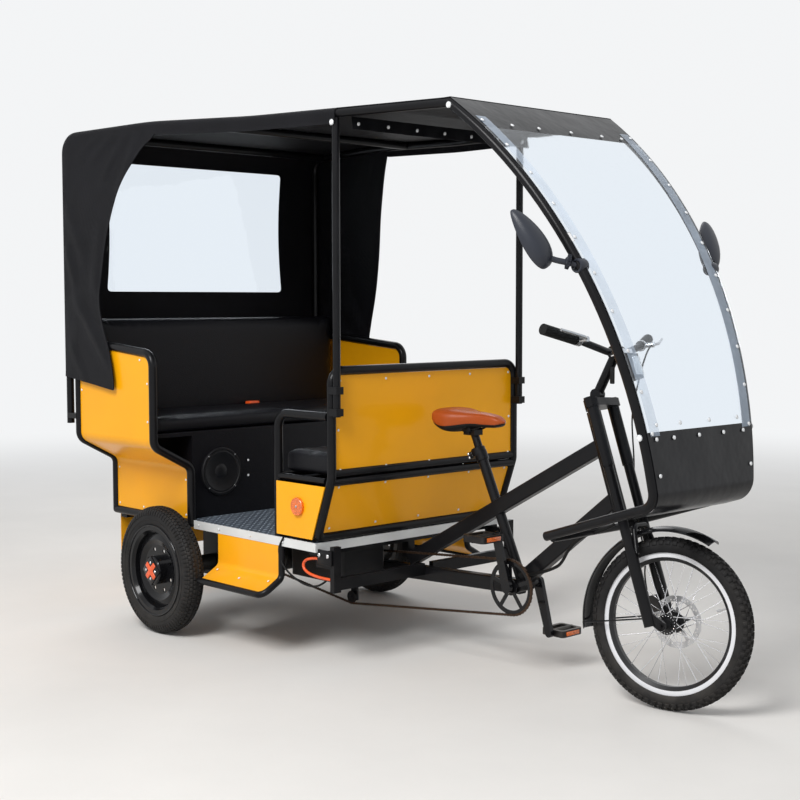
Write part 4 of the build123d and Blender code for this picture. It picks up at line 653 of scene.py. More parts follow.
def edit(obj):
    """Start editing all of one object's mesh."""
    pick(obj)
    bpy.ops.object.mode_set(mode="EDIT")
    bpy.ops.mesh.select_mode(type="VERT")
    bpy.ops.mesh.select_all(action="SELECT")


def done(obj, smooth=35):
    """Merge shared corners, turn faces outwards and shade smooth up to an angle."""
    edit(obj)
    bpy.ops.mesh.remove_doubles(threshold=0.00005)
    bpy.ops.mesh.normals_make_consistent(inside=False)
    bpy.ops.object.mode_set(mode="OBJECT")
    if smooth:
        bpy.ops.object.shade_smooth_by_angle(angle=radians(smooth))
    else:
        bpy.ops.object.shade_flat()


def select_faces(obj, chosen):
    """Start editing with only those faces selected for which the test holds."""
    pick(obj)
    bpy.ops.object.mode_set(mode="EDIT")
    bpy.ops.mesh.select_mode(type="FACE")
    bpy.ops.mesh.select_all(action="DESELECT")
    bpy.ops.object.mode_set(mode="OBJECT")
    for face in obj.data.polygons:
        face.select = bool(chosen(face))
    bpy.ops.object.mode_set(mode="EDIT")


def place_piece(obj, matrix=Matrix.Identity(4)):
    """Apply a piece's own place and move its mesh, so that its object stays at the origin."""
    pick(obj)
    bpy.ops.object.transform_apply(location=True, rotation=True, scale=True)
    obj.data.transform(matrix)
    obj.data.update()
    return obj


def moved(obj, matrix):
    """Move a piece's mesh, and leave its object where it is."""
    obj.data.transform(matrix)
    return obj


def copies(source, name, matrices):
    """Copy a piece to each place, each copy with its own mesh, and join them into one piece."""
    made = []
    for matrix in matrices:
        twin = source.copy()
        twin.data = source.data.copy()
        scene.collection.objects.link(twin)
        made.append(moved(twin, matrix))
    joined = join(name, *made)
    bpy.data.objects.remove(source)
    return joined


def join(name, *pieces):
    """Join several pieces into one."""
    clear()
    for piece in pieces:
        piece.select_set(True)
    bpy.context.view_layer.objects.active = pieces[0]
    bpy.ops.object.join()
    pieces[0].name = name
    return pieces[0]


def hand_over(obj, body, finish=None, replaced=()):
    """Give a finished piece its finish and its body, and hide the CAD nodes that it stands for."""
    if finish:
        put_finish(obj, finish)
    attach(obj, body)
    if replaced:
        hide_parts(*replaced)
    triangles = sum(len(face.vertices) - 2 for face in obj.data.polygons)
    print(obj.name, "rides on", body, "with", triangles, "triangles")
    return obj


def apply_all(obj):
    """Apply every modifier of a piece."""
    pick(obj)
    for modifier in list(obj.modifiers):
        bpy.ops.object.modifier_apply(modifier=modifier.name)


def lathe(name, profile, steps, smooth=35):
    """Turn a profile of (along the axle, radius) points round the Y axis, as on a lathe."""
    clear()
    bpy.ops.mesh.primitive_plane_add(size=0.01, location=(0, 0, 0))
    turned = bpy.context.object
    turned.name = name
    edit(turned)
    bpy.ops.mesh.merge(type="CENTER")
    first = profile[0]
    bpy.ops.transform.translate(value=(0, first[0], first[1]))
    for last, point in zip(profile, profile[1:]):
        move = (0, point[0] - last[0], point[1] - last[1])
        bpy.ops.mesh.extrude_region_move(TRANSFORM_OT_translate={"value": move})
    bpy.ops.mesh.select_all(action="SELECT")
    bpy.ops.mesh.spin(steps=steps, angle=2 * pi, center=(0, 0, 0), axis=(0, 1, 0))
    done(turned, smooth)
    return turned


def stud(radius, height, sides):
    """A low domed button, lying on the plane Z = 0 and facing up."""
    clear()
    bpy.ops.mesh.primitive_cylinder_add(
        vertices=sides, radius=radius, depth=height, location=(0, 0, height / 2)
    )
    made = bpy.context.object
    edit(made)
    bpy.ops.object.mode_set(mode="OBJECT")
    for vertex in made.data.vertices:
        vertex.select = vertex.co.z > 0
    for line in made.data.edges:
        line.select = all(made.data.vertices[i].co.z > 0 for i in line.vertices)
    bpy.ops.object.mode_set(mode="EDIT")
    bpy.ops.mesh.bevel(offset=0.7 * height, segments=3, affect="EDGES")
    bpy.ops.object.mode_set(mode="OBJECT")
    done(place_piece(made), 50)
    return made


def fasten(name, head, spots, body, finish):
    """Copy one head, given as (radius, height, sides), to every spot and hand the row over."""
    heads = copies(stud(*head), name, spots)
    done(heads, 50)
    return hand_over(heads, body, finish)


def facing(point, normal, up=(0, 0, 1)):
    """A frame at a point whose Z looks along the normal."""
    z_axis = Vector(normal).normalized()
    x_axis = Vector(up).cross(z_axis)
    if x_axis.length < 1e-4:
        x_axis = Vector((1, 0, 0))
    x_axis.normalize()
    return axes_at(Vector(point), x_axis, z_axis.cross(x_axis), z_axis)


def tube(name, points, radius, smooth_line=True, sides=3):
    """A round bar or cable along a line of points."""
    line = bpy.data.curves.new(name, "CURVE")
    line.dimensions = "3D"
    line.bevel_depth = radius
    line.bevel_resolution = sides
    line.use_fill_caps = True
    spline = line.splines.new("NURBS" if smooth_line else "POLY")
    spline.points.add(len(points) - 1)
    for spot, point in zip(spline.points, points):
        spot.co = (*point, 1)
    if smooth_line:
        spline.order_u = 3
        spline.use_endpoint_u = True
        spline.resolution_u = 6
    held = bpy.data.objects.new(name, line)
    scene.collection.objects.link(held)
    pick(held)
    bpy.ops.object.convert(target="MESH")
    made = bpy.context.object
    done(made, 50)
    return made


def between(table, value):
    """Straight-line reading of a table of (key, value) pairs."""
    for (low, first), (high, second) in zip(table, table[1:]):
        if value <= high:
            return first + (second - first) * (value - low) / (high - low)
    return table[-1][1]


def block(size, bevel, matrix, name="block"):
    """A machined or moulded block with rounded edges, placed by a matrix."""
    clear()
    bpy.ops.mesh.primitive_cube_add(size=1, scale=size, location=(0, 0, 0))
    made = bpy.context.object
    bpy.ops.object.transform_apply(scale=True)
    edit(made)
    bpy.ops.mesh.select_mode(type="EDGE")
    bpy.ops.mesh.select_all(action="SELECT")
    bpy.ops.mesh.bevel(offset=bevel, segments=2, affect="EDGES")
    bpy.ops.object.mode_set(mode="OBJECT")
    made.name = name
    done(place_piece(made, matrix), 40)
    return made


print("steering frame:", [round(value, 4) for value in STEER.translation])

# %% [markdown]
# The canopy is coated cloth sewn as one cover: a top that is pulled over the roof tubes, a back
# that comes down behind the bench, and two wings at the sides. A flat panel per face would look
# like board, so it is one continuous sheet. A grid follows the roof's line from the front edge
# over the rear bend to the hem. Each row runs across it and wraps half way round both side
# tubes, and the wings are patches stretched between the tube, the hem and their own free edge.

# %% The line that the canopy follows
OVER = 0.0160  # from a tube's middle to the cloth
FRONT_EDGE, FRONT_POST, WING_START = 1.324, 0.885, 0.040
BEND_FROM, BEND_HEIGHT, REAR_BEND = -0.42, 1.7549, 0.060
ROOF_RUN = [(FRONT_EDGE, 1.7838), (0.5, 1.798), (0.0, 1.821), (BEND_FROM, 1.8149)]
REAR_POST = -0.480
HEM_REAR = 0.918
HEM_FRONT = (-0.140, 0.878)
WINDOW_LOW, WINDOW_TOP, WINDOW_HALF = 1.240, 1.738, 0.430
WINDOW_SHARE = 0.7077  # of the half width, at which the window's side lies
EDGE_ROWS, ROOF_ROWS, WING_ROWS, BEND_ROWS = 18, 34, 19, 8


def roof_half(distance):
    """Half width between the middles of the side tubes at this distance ahead of the rear axle."""
    return 0.375 + 0.12922 * (1.320 - distance)


def roof_height(distance):
    """Height of the tubes' middles, with the two kinks eased as bent tube does."""
    heights = []
    for near in (distance - 0.05, distance, distance, distance + 0.05):
        near = min(max(near, ROOF_RUN[-1][0]), ROOF_RUN[0][0])
        for (x_a, z_a), (x_b, z_b) in zip(ROOF_RUN, ROOF_RUN[1:]):
            if x_b <= near <= x_a:
                heights.append(z_b + (z_a - z_b) * (near - x_b) / (x_a - x_b))
                break
    return sum(heights) / len(heights)


def spread(start, end, steps):
    """Evenly spaced numbers from the start up to, and not with, the end."""
    return [start + (end - start) * i / steps for i in range(steps)]


stations = []
along_roof = spread(FRONT_EDGE, FRONT_POST, EDGE_ROWS) + spread(FRONT_POST, WING_START, ROOF_ROWS)
for distance in along_roof + spread(WING_START, BEND_FROM, WING_ROWS):
    slope = (roof_height(distance + 0.02) - roof_height(distance - 0.02)) / 0.04
    tilt = hypot(1, slope)
    stations.append((distance, roof_height(distance), -slope / tilt, 1 / tilt))
for angle in spread(radians(90), radians(180), BEND_ROWS):
    x, z = BEND_FROM + REAR_BEND * cos(angle), BEND_HEIGHT + REAR_BEND * sin(angle)
    stations.append((x, z, cos(angle), sin(angle)))
down_window = spread(WINDOW_TOP, WINDOW_LOW, 20)
for z in [BEND_HEIGHT] + down_window + spread(WINDOW_LOW, HEM_REAR, 14) + [HEM_REAR]:
    stations.append((REAR_POST, z, -1.0, 0.0))
WING_AT = EDGE_ROWS + ROOF_ROWS
BEND_MIDDLE = WING_AT + WING_ROWS + BEND_ROWS // 2
print(len(stations), "stations from the front edge to the rear hem")

# %% [markdown]
# Cloth is never quite flat. Between the cross tubes it sags a little, it gathers where the
# wings are sewn on, and long soft folds run from the points that hold it. Each fold is a ridge
# along a line, low and wide or narrow and sharp, and all of them only ever push the cloth away
# from the frame, so it never sinks into a tube.

# %% Folds and sag
CROSS_TUBES = (-0.405, 0.200, 0.9328, 1.320)
# Each ridge: from and to (ahead of the rear axle, height), its height and its half width
WING_FOLDS = [
    ((0.020, 1.800), (-0.110, 1.600), 0.0045, 0.012),
    ((-0.035, 1.812), (-0.170, 1.560), 0.0050, 0.014),
    ((-0.100, 1.814), (-0.250, 1.640), 0.0040, 0.012),
    ((-0.170, 1.815), (-0.330, 1.700), 0.0035, 0.011),
    ((-0.250, 1.812), (-0.400, 1.730), 0.0030, 0.012),
    ((-0.470, 1.560), (-0.330, 1.330), 0.0055, 0.024),
    ((-0.470, 1.420), (-0.400, 1.250), 0.0060, 0.020),
    ((-0.430, 1.240), (-0.165, 0.960), 0.0090, 0.022),
    ((-0.300, 1.330), (-0.150, 1.060), 0.0050, 0.026),
    ((-0.450, 1.050), (-0.330, 0.900), 0.0050, 0.020),
    ((-0.250, 1.520), (-0.290, 1.160), 0.0035, 0.030),
]


def ridge(x, z, fold):
    """Height of one fold at a point of the wing, fading at both ends."""
    (x_a, z_a), (x_b, z_b), height, width = fold
    along = Vector((x_b - x_a, z_b - z_a))
    offset = Vector((x - x_a, z - z_a))
    share = offset.dot(along) / along.length_squared
    if not -0.15 < share < 1.15:
        return 0.0
    aside = abs(offset.x * along.y - offset.y * along.x) / along.length
    fade = max(0.0, 1 - (2 * share - 1) ** 4) if 0 < share < 1 else 0.0
    return height * fade * 2.718 ** (-((aside / width) ** 2))


def wing_swell(x, z, side):
    """How far the wing stands out from the frame here."""
    swell = sum(ridge(x, z, fold) for fold in WING_FOLDS)
    swell += 0.004 * max(0.0, noise.noise(Vector((x * 5, side * 3.1, z * 4))) + 0.1)
    return swell


def top_sag(distance, share):
    """How far the roof's cloth hangs between its cross tubes, from middle to side 0 to 1."""
    for front, rear in zip(CROSS_TUBES[::-1], CROSS_TUBES[-2::-1]):
        if rear <= distance <= front:
            bay = sin(pi * (distance - rear) / (front - rear))
            wave = noise.noise(Vector((distance * 4, share * 2.5, 0.7)))
            return bay * (1 - share**2) * (0.009 + 0.004 * wave)
    return 0.0


print(len(WING_FOLDS), "folds on each wing")

# %% [markdown]
# The grid is added flat with the right number of cells, and each of its corners is then moved
# to its place on the tricycle. Columns are crowded round the side tubes, where the cloth turns.

# %% Top and back of the canopy
COLUMN_SHARES = spread(0, WINDOW_SHARE, 16) + spread(WINDOW_SHARE, 1.0, 7) + [1.0]
ARC = [radians(angle) for angle in (15, 32, 50, 70, 90)]
side_columns = [(share, 0.0) for share in COLUMN_SHARES] + [(1.0, angle) for angle in ARC]
columns = [(-share, -angle) for share, angle in side_columns[:0:-1]] + side_columns


def shaped_grid(name, rows, across, spot):
    """A grid of rows by columns whose corners go where the spot function says."""
    clear()
    bpy.ops.mesh.primitive_grid_add(
        x_subdivisions=rows, y_subdivisions=across, size=1, location=(0, 0, 0)
    )
    grid = bpy.context.object
    grid.name = name
    for vertex in grid.data.vertices:
        row = round((vertex.co.x + 0.5) * rows)
        column = round((vertex.co.y + 0.5) * across)
        vertex.co = spot(row, column)
    return grid


def roof_spot(row, column):
    """A point of the cover's top or back."""
    x, z, out_x, out_z = stations[row]
    share, angle = columns[column]
    half = roof_half(max(x, REAR_POST))
    side = 1 if share >= 0 else -1
    lift = OVER * cos(angle)
    if angle == 0:
        if out_z > 0.5:
            lift -= top_sag(x, abs(share))
        elif z < 1.7:
            wave = noise.noise(Vector((share * 2.2, 5.0, z * 2.0)))
            lift += 0.004 * (1 - share**4) * max(0.0, wave) * min(1.0, (1.7 - z) / 0.1)
    y = share * half + OVER * sin(angle)
    if out_x < -0.99 and WINDOW_LOW - 0.1 < z < WINDOW_TOP + 0.1:
        bow = sin(pi * min(max((z - WINDOW_LOW) / (WINDOW_TOP - WINDOW_LOW), 0), 1))
        reach = max(0.0, 1 - abs(abs(share) - WINDOW_SHARE) / 0.12)
        y -= side * 0.014 * bow * reach
    return (ahead(x) + out_x * lift, y, z + out_z * lift)


cover = shaped_grid("canopy_cover", len(stations) - 1, len(columns) - 1, roof_spot)


def cut_away(face):
    """The window's opening, and the cover's edge where the front tubes stay bare."""
    x, y, z = face.center
    at_height = WINDOW_LOW < z < WINDOW_TOP
    in_window = x < ahead(REAR_POST) and abs(y) < WINDOW_HALF - 0.004 and at_height
    return in_window or (x > ahead(FRONT_POST) and abs(y) > roof_half(x + MID_LENGTH) + 0.009)


select_faces(cover, cut_away)
bpy.ops.mesh.delete(type="FACE")
bpy.ops.object.mode_set(mode="OBJECT")
print("cover has", len(cover.data.polygons), "faces, with the window cut out")

# %% [markdown]
# Each wing is a patch between four edges: the roof tube, the rear post, the hem and the free
# front edge, which is cut in a long curve. Blending the opposite edges fills it evenly. In
# front of the wing only a short skirt hangs beside the tube, as far as the front post.

# %% Wings and skirts
SKIRT = 0.034
# The free edge of each wing, right -1 and left 1, as (ahead of the rear axle, height)
WING_CUTS = {
    -1: [
        (0.040, 1.786), (-0.022, 1.746), (-0.106, 1.663), (-0.179, 1.544), (-0.214, 1.422),
        (-0.233, 1.298), (-0.242, 1.171), (-0.205, 1.088), (-0.160, 1.005), (-0.146, 0.935),
        HEM_FRONT,
    ],
    1: [
        (0.040, 1.786), (0.005, 1.700), (-0.030, 1.560), (-0.055, 1.400), (-0.085, 1.260),
        (-0.115, 1.165), (-0.150, 1.070), (-0.155, 0.990), HEM_FRONT,
    ],
}


def resample(points, count):
    """This many even steps along a run of points, eased by averaging neighbours."""
    run = [Vector(point) for point in points]
    total = sum((b - a).length for a, b in zip(run, run[1:]))
    spots = []
    for i in range(count + 1):
        left = total * i / count
        for a, b in zip(run, run[1:]):
            if left <= (b - a).length + 1e-9:
                spots.append(a + (b - a) * (left / (b - a).length))
                break
            left -= (b - a).length
    for _ in range(3):
        eased = [(a + 2 * b + c) / 4 for a, b, c in zip(spots, spots[1:], spots[2:])]
        spots = [spots[0]] + eased + [spots[-1]]
    return spots


SLANT_LOW, SLANT_TOP = 1.078, 1.780


def side_y(x, z):
    """How far out the wing hangs: beside the slanting tube above, straight along below."""
    top = roof_half(x) + OVER
    low = roof_half(REAR_POST) + OVER
    share = min(max((z - SLANT_LOW) / (SLANT_TOP - SLANT_LOW), 0), 1)
    return low + (top - low) * share


def wing(side):
    """One wing, sewn to the cover along the roof tube and the rear post."""
    top = [Vector(stations[i][:2]) for i in range(WING_AT, BEND_MIDDLE + 1)]
    rear = [Vector(stations[i][:2]) for i in range(BEND_MIDDLE, len(stations))]
    head = [top[0] - Vector((0, (SKIRT + 0.001) * i / 4)) for i in range(4)]
    free = head + resample(WING_CUTS[side], len(rear) - 5)
    rows, across = len(rear) - 1, len(top) - 1
    behind, front = Vector((REAR_POST, HEM_REAR)), Vector(HEM_FRONT)
    hem = [behind.lerp(front, i / across) for i in range(across + 1)][::-1]

    def spot(row, column):
        u, v = column / across, row / rows
        mixed = top[column] * (1 - v) + hem[column] * v + free[row] * (1 - u) + rear[row] * u
        mixed -= top[0] * (1 - u) * (1 - v) + top[-1] * u * (1 - v)
        mixed -= hem[0] * (1 - u) * v + hem[-1] * u * v
        x, z = mixed
        sewn = min(1.0, row / 3, (across - column) / 3)
        y = side_y(x, z) + sewn * wing_swell(x, z, side)
        return (ahead(x), side * y, z)

    return shaped_grid("wing", rows, across, spot)


def skirt(side):
    """The short hanging edge between the front post and the wing."""

    def spot(row, column):
        x, z = stations[EDGE_ROWS + row][:2]
        drop = (SKIRT + 0.001) * column / 4
        return (ahead(x), side * (roof_half(x) + OVER), z - drop)

    return shaped_grid("skirt", ROOF_ROWS, 4, spot)


cover = join("canopy_cover", cover, wing(-1), wing(1), skirt(-1), skirt(1))
edit(cover)
bpy.ops.mesh.remove_doubles(threshold=0.0008)
bpy.ops.mesh.normals_make_consistent(inside=False)
bpy.ops.object.mode_set(mode="OBJECT")
loose = sum(line.is_loose for line in cover.data.edges)
print("cover sewn:", len(cover.data.polygons), "faces,", loose, "loose edges")

# %% [markdown]
# A hem is folded twice, so the cloth is thicker along every cut edge. The thickness comes last:
# a vertex group marks the edges, and Solidify makes the sheet thicker where it is marked.

# %% Thickness, hems, finish and body
mesh = cover.data
mesh.update()
net = bmesh.new()
net.from_mesh(mesh)
hem_spots = [vertex.index for vertex in net.verts if vertex.is_boundary]
net.free()
hems = cover.vertex_groups.new(name="hems")
hems.add(hem_spots, 1.0, "REPLACE")
smooth = cover.modifiers.new("smooth", "SUBSURF")
smooth.levels = smooth.render_levels = 1
thick = cover.modifiers.new("thick", "SOLIDIFY")
thick.thickness = 0.0034
thick.offset = 0
thick.vertex_group = "hems"
thick.thickness_vertex_group = 0.45
thick.use_even_offset = True
apply_all(cover)
cover.vertex_groups.clear()
done(cover, 60)
hand_over(cover, "chassis", canopy_cloth, ["canopy_roof", "canopy_curtain"])

# %% [markdown]
# A tyre is a smooth carcass with rubber blocks on its crown. The carcass is turned like a pot:
# its half profile is extruded point by point and spun round the axle. One group of blocks is
# modelled and copied round the tyre, because the tread repeats exactly.

# %% Carcass and one block
ROOT = 0.003  # how far a block's foot goes on into the carcass


def sign(value):
    """The side that a value lies on, 1 or -1."""
    return 1 if value > 0 else -1


def tyre_carcass(name, outer, width, rim, squareness, steps):
    """A turned carcass: its section is a rounded square that stands in the rim."""
    half = width / 2
    middle = outer - half
    profile = []
    for i in range(25):
        angle = radians(-128 + 256 * i / 24)
        power = 2 / squareness
        across = half * abs(sin(angle)) ** power * sign(angle)
        up = half * abs(cos(angle)) ** power * sign(cos(angle))
        profile.append((across, max(middle + up, rim - 0.004)))
    return lathe(name, profile, steps)


def tread_block(length, across, height, taper):
    """One rubber block standing on the plane Z = 0, narrower at its top."""
    clear()
    bpy.ops.mesh.primitive_cube_add(
        size=1, scale=(length, across, height + ROOT), location=(0, 0, 0)
    )
    made = place_piece(bpy.context.object, Matrix.Translation((0, 0, (height - ROOT) / 2)))
    select_faces(made, lambda face: face.normal.z > 0.9)
    bpy.ops.mesh.inset(thickness=min(length, across) * taper, depth=0)
    bpy.ops.transform.translate(value=(0, 0, height * 0.25))
    bpy.ops.object.mode_set(mode="OBJECT")
    return made


def on_crown(outer, width, squareness, across, depth):
    """Frame of a block on the tyre's top, this share aside and sunk by this depth."""
    half = width / 2
    power = 2 / squareness
    angle = radians(across * 90)
    side = half * abs(sin(angle)) ** power * sign(angle)
    up = half * abs(cos(angle)) ** power
    aside = abs(sin(angle)) ** (2 - power) * sign(angle)
    lean = Vector((0, aside, abs(cos(angle)) ** (2 - power))).normalized()
    spot = Vector((0, side, outer - half + up)) - lean * depth
    x_axis = Vector((1, 0, 0))
    return axes_at(spot, x_axis, lean.cross(x_axis), lean)


def turned_about_axle(count, offset=0.0):
    """This many even turns about the Y axis."""
    return [Matrix.Rotation(2 * pi * (i + offset) / count, 4, "Y") for i in range(count)]


print("tyre helpers are ready")

# %% [markdown]
# The rear tyres are road tyres with close rows of small rounded blocks, lugs on the shoulders
# and a thin moulded line round each sidewall.

# %% Rear tyres
HALF_TRACK = 0.527
REAR_TYRE = (0.231, 0.078)  # outer radius and width
DEPTH = 0.0045
REAR_PITCHES = 88
SQUARE_CROWN = 2.7
SUNK = 1.35  # of its height, by which a block sits below the tyre's outline
# Each row of blocks: its place across and its shift along the pitch
TREAD_ROWS = ((-0.60, 0.0), (-0.36, 0.5), (-0.12, 0.0), (0.12, 0.5), (0.36, 0.0), (0.60, 0.5))
SIDEWALL_LINE = [
    (0.0352, 0.1830), (0.0384, 0.1838), (0.0388, 0.1850), (0.0384, 0.1862), (0.0360, 0.1870),
]


def rear_tyre():
    """A road tyre centred on the origin, its axle along Y."""
    outer, width = REAR_TYRE
    carcass = tyre_carcass("carcass", outer - DEPTH, width - 0.003, 0.165, SQUARE_CROWN, 96)
    rows = []
    for across, shift in TREAD_ROWS:
        turn = Matrix.Rotation(2 * pi * shift / REAR_PITCHES, 4, "Y")
        spot = turn @ on_crown(outer, width, SQUARE_CROWN, across, DEPTH * SUNK)
        rows.append(moved(tread_block(0.0125, 0.0098, DEPTH, 0.22), spot))
    for side in (-1, 1):
        spot = on_crown(outer, width, SQUARE_CROWN, side * 0.80, 0.0035)
        rows.append(moved(tread_block(0.0105, 0.0150, 0.003, 0.2), spot))
    tread = copies(join("group", *rows), "tread", turned_about_axle(REAR_PITCHES))
    beads = [lathe("bead", [(s * y, radius) for y, radius in SIDEWALL_LINE], 72) for s in (1, -1)]
    return join("rear_tyre", carcass, tread, *beads)


tyre = rear_tyre()
for side, word in ((-1, "right"), (1, "left")):
    twin = tyre.copy()
    twin.data = tyre.data.copy()
    twin.name = f"tyre_rear_{word}"
    scene.collection.objects.link(twin)
    moved(twin, Matrix.Translation((ahead(0), side * HALF_TRACK, REAR_TYRE[0])))
    done(twin, 40)
    hand_over(twin, f"{word}_rear_wheel", tyre_rubber, [f"rear_tyre_{word}"])
bpy.data.objects.remove(tyre)

# %% [markdown]
# The front tyre is rounder, with coarse knobs that reach over its shoulders. It is made round
# the origin as well, and then carried into the frame of the parked steering.

# %% Front tyre
FRONT_TYRE = (0.255, 0.056)  # outer radius and width
KNOB = 0.005
FRONT_PITCHES = 68
ROUND_CROWN = 2.15
# Each row: its place across, its shift along the pitch, and a knob's length and width
KNOB_ROWS = (
    (-0.13, 0.0, 0.013, 0.0085), (0.13, 0.5, 0.013, 0.0085), (-0.42, 0.5, 0.010, 0.009),
    (0.42, 0.0, 0.010, 0.009), (-0.72, 0.15, 0.014, 0.0125), (0.72, 0.65, 0.014, 0.0125),
)

outer, width = FRONT_TYRE
carcass = tyre_carcass("carcass", outer - KNOB, width - 0.006, 0.210, ROUND_CROWN, 96)
knobs = []
for across, shift, length, wide in KNOB_ROWS:
    turn = Matrix.Rotation(2 * pi * shift / FRONT_PITCHES, 4, "Y")
    spot = turn @ on_crown(outer, width, ROUND_CROWN, across, KNOB * SUNK)
    knobs.append(moved(tread_block(length, wide, KNOB, 0.14), spot))
tread = copies(join("group", *knobs), "tread", turned_about_axle(FRONT_PITCHES))
front_tyre = join("tyre_front", carcass, tread)
place_piece(front_tyre, FRONT_WHEEL)
done(front_tyre, 40)
hand_over(front_tyre, "front_wheel", tyre_rubber, ["front_tyre"])

# %% [markdown]
# A seat pad is foam in a vinyl cover: its top is crowned, its sides pull in between the corners
# and only its base lies flat. Blowing up a slightly smaller copy of the solid with a little
# cloth pressure gives just that shape. The copy is remeshed into even cells, the cloth runs for
# twenty frames with gravity off, and how far each point may move is capped.

# %% Padding helper
START_INSET = 0.004
CELL = 0.007
CLOTH_FRAMES = 20


def pad(name, node_name, cap, floor_z=None, wall_x=None):
    """A swollen vinyl cushion in the place of a plain CAD cushion, flat on its floor or wall."""
    source = frame["nodes"][node_name]
    made = bpy.data.objects.new(name, source.data.copy())
    scene.collection.objects.link(made)
    made.data.materials.clear()
    done(made, 0)
    low, high = [Vector(corner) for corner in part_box(node_name)]
    middle, size = (low + high) / 2, high - low
    shrink = [1 - 2 * START_INSET / extent for extent in size]
    for vertex in made.data.vertices:
        offset = vertex.co - middle
        vertex.co = middle + Vector(value * scale for value, scale in zip(offset, shrink))
    remesh = made.modifiers.new("cells", "REMESH")
    remesh.mode = "VOXEL"
    remesh.voxel_size = CELL
    apply_all(made)
    soft = made.modifiers.new("soften", "SMOOTH")
    soft.factor, soft.iterations = 0.5, 6
    apply_all(made)
    start = [vertex.co.copy() for vertex in made.data.vertices]
    cloth = made.modifiers.new("cloth", "CLOTH")
    settings = cloth.settings
    settings.quality = 4
    settings.use_pressure = True
    settings.uniform_pressure_force = 4
    settings.effector_weights.gravity = 0
    cloth.collision_settings.use_collision = False
    cloth.point_cache.frame_end = CLOTH_FRAMES
    for step in range(1, CLOTH_FRAMES + 1):
        scene.frame_set(step)
    apply_all(made)
    scene.frame_set(1)
    for vertex, before in zip(made.data.vertices, start):
        move = vertex.co - before
        if move.length > cap:
            move *= cap / move.length
        vertex.co = before + move
        if floor_z is not None:
            vertex.co.z = max(vertex.co.z, floor_z)
        if wall_x is not None:
            vertex.co.x = max(vertex.co.x, wall_x)
    smooth = made.modifiers.new("smooth", "SUBSURF")
    smooth.levels = smooth.render_levels = 1
    apply_all(made)
    done(made, 60)
    hand_over(made, "chassis", black_vinyl, [node_name])


print("simulation is", "on")

# %% [markdown]
# The bench has one long seat pad and one long backrest, and the rear-facing seat has a thick
# square-edged pad of its own. Each is held at the face it lies on, which says where it is flat.

# %% Seat pads
pad("bench_pad", "bench_cushion", 0.012, floor_z=0.7305)
pad("back_pad", "bench_backrest", 0.010, wall_x=-1.2203)
pad("jump_pad", "jump_seat_cushion", 0.010, floor_z=0.6285)

# %% [markdown]
# The windscreen is a flexible clear sheet that is snapped to the two bent tubes of the hoop.
# Its edges are doubled, and that hem looks pale blue. Each hoop tube is one arc, so a point on
# the screen is found from a share of the way down that arc and a place across.

# %% Line of the hoop
ARC_AT = (0.45844, 0.53753)
ARC_RADIUS = 1.51525
ARC_FROM, ARC_TO = radians(55.348), radians(5.775)


def on_screen(share, out=0.0168):
    """Distance ahead of the rear axle and height at this share of the way down the arc."""
    angle = ARC_FROM + (ARC_TO - ARC_FROM) * share
    reach = ARC_RADIUS + out
    return ARC_AT[0] + reach * cos(angle), ARC_AT[1] + reach * sin(angle)


def hoop_half(height):
    """Half the hoop's width at this height."""
    return 0.375 - (1.784 - height) * 0.1272


def screen_frame(share, across, out=0.0168):
    """Frame on the screen's face, its Z looking outwards."""
    distance, height = on_screen(share, out)
    angle = ARC_FROM + (ARC_TO - ARC_FROM) * share
    return facing((ahead(distance), across, height), (cos(angle), 0, sin(angle)), (0, 1, 0))


ends = [[round(value, 3) for value in on_screen(share)] for share in (0, 1)]
print("screen runs from", ends[0], "to", ends[1])

# %% [markdown]
# White press studs hold the sheet: a row down each edge, one along the header and two along
# the skirt. The doubled edge is a ribbon just above the sheet, half clear as the real one is.

# %% Snaps and edge hem
white_snap = cloudy(
    "white_snap", (0.86, 0.87, 0.88), 0.25, (90.0,), 0.15, (300.0, 0.00008), coat=0.5
)
sheet_hem = cloudy(
    "sheet_hem", (0.62, 0.74, 0.90), 0.18, (12.0, 5.0), 0.2, (60.0, 0.0003), coat=0.4
)
sheet_hem.node_tree.nodes["Principled BSDF"].inputs["Alpha"].default_value = 0.42

snap_spots = []
for side in (-1, 1):
    for i in range(11):
        share = 0.093 + 0.0885 * i
        across = side * (hoop_half(on_screen(share)[1]) - 0.019)
        snap_spots.append(screen_frame(share, across, 0.0178))
for share, out, row in (
    (0.102, 0.0185, (-0.23, -0.11, 0.04, 0.19, 0.29)),
    (0.872, 0.0172, (-0.21, -0.10, 0.04, 0.18)),
    (0.902, 0.0185, (-0.22, -0.14, -0.02, 0.10, 0.20)),
):
    snap_spots += [screen_frame(share, across, out) for across in row]
fasten("screen_snaps", (0.0062, 0.0042, 12), snap_spots, "chassis", white_snap)


def screen_strip(name, first, last, inner, outer, out):
    """A narrow ribbon along both edges of the screen."""
    strips = []
    for side in (-1, 1):

        def spot(row, column):
            share = first + (last - first) * row / 40
            distance, height = on_screen(share, out)
            across = hoop_half(height) - (inner + (outer - inner) * column / 2)
            return ahead(distance), side * across, height

        strips.append(shaped_grid(f"{name}_{side}", 41, 3, spot))
    made = join(name, *strips)
    done(made, 60)
    return made


hem = screen_strip("screen_hem", 0.075, 0.875, 0.012, 0.040, 0.0181)
hand_over(hem, "chassis", sheet_hem)

# %% [markdown]
# The rider's mirrors hang on short cast arms from ball clamps on the hoop. The shell is a
# teardrop, wide below and narrow above, deep on the side that looks ahead and flat on the
# side of the glass. A round start is pulled into that shape.

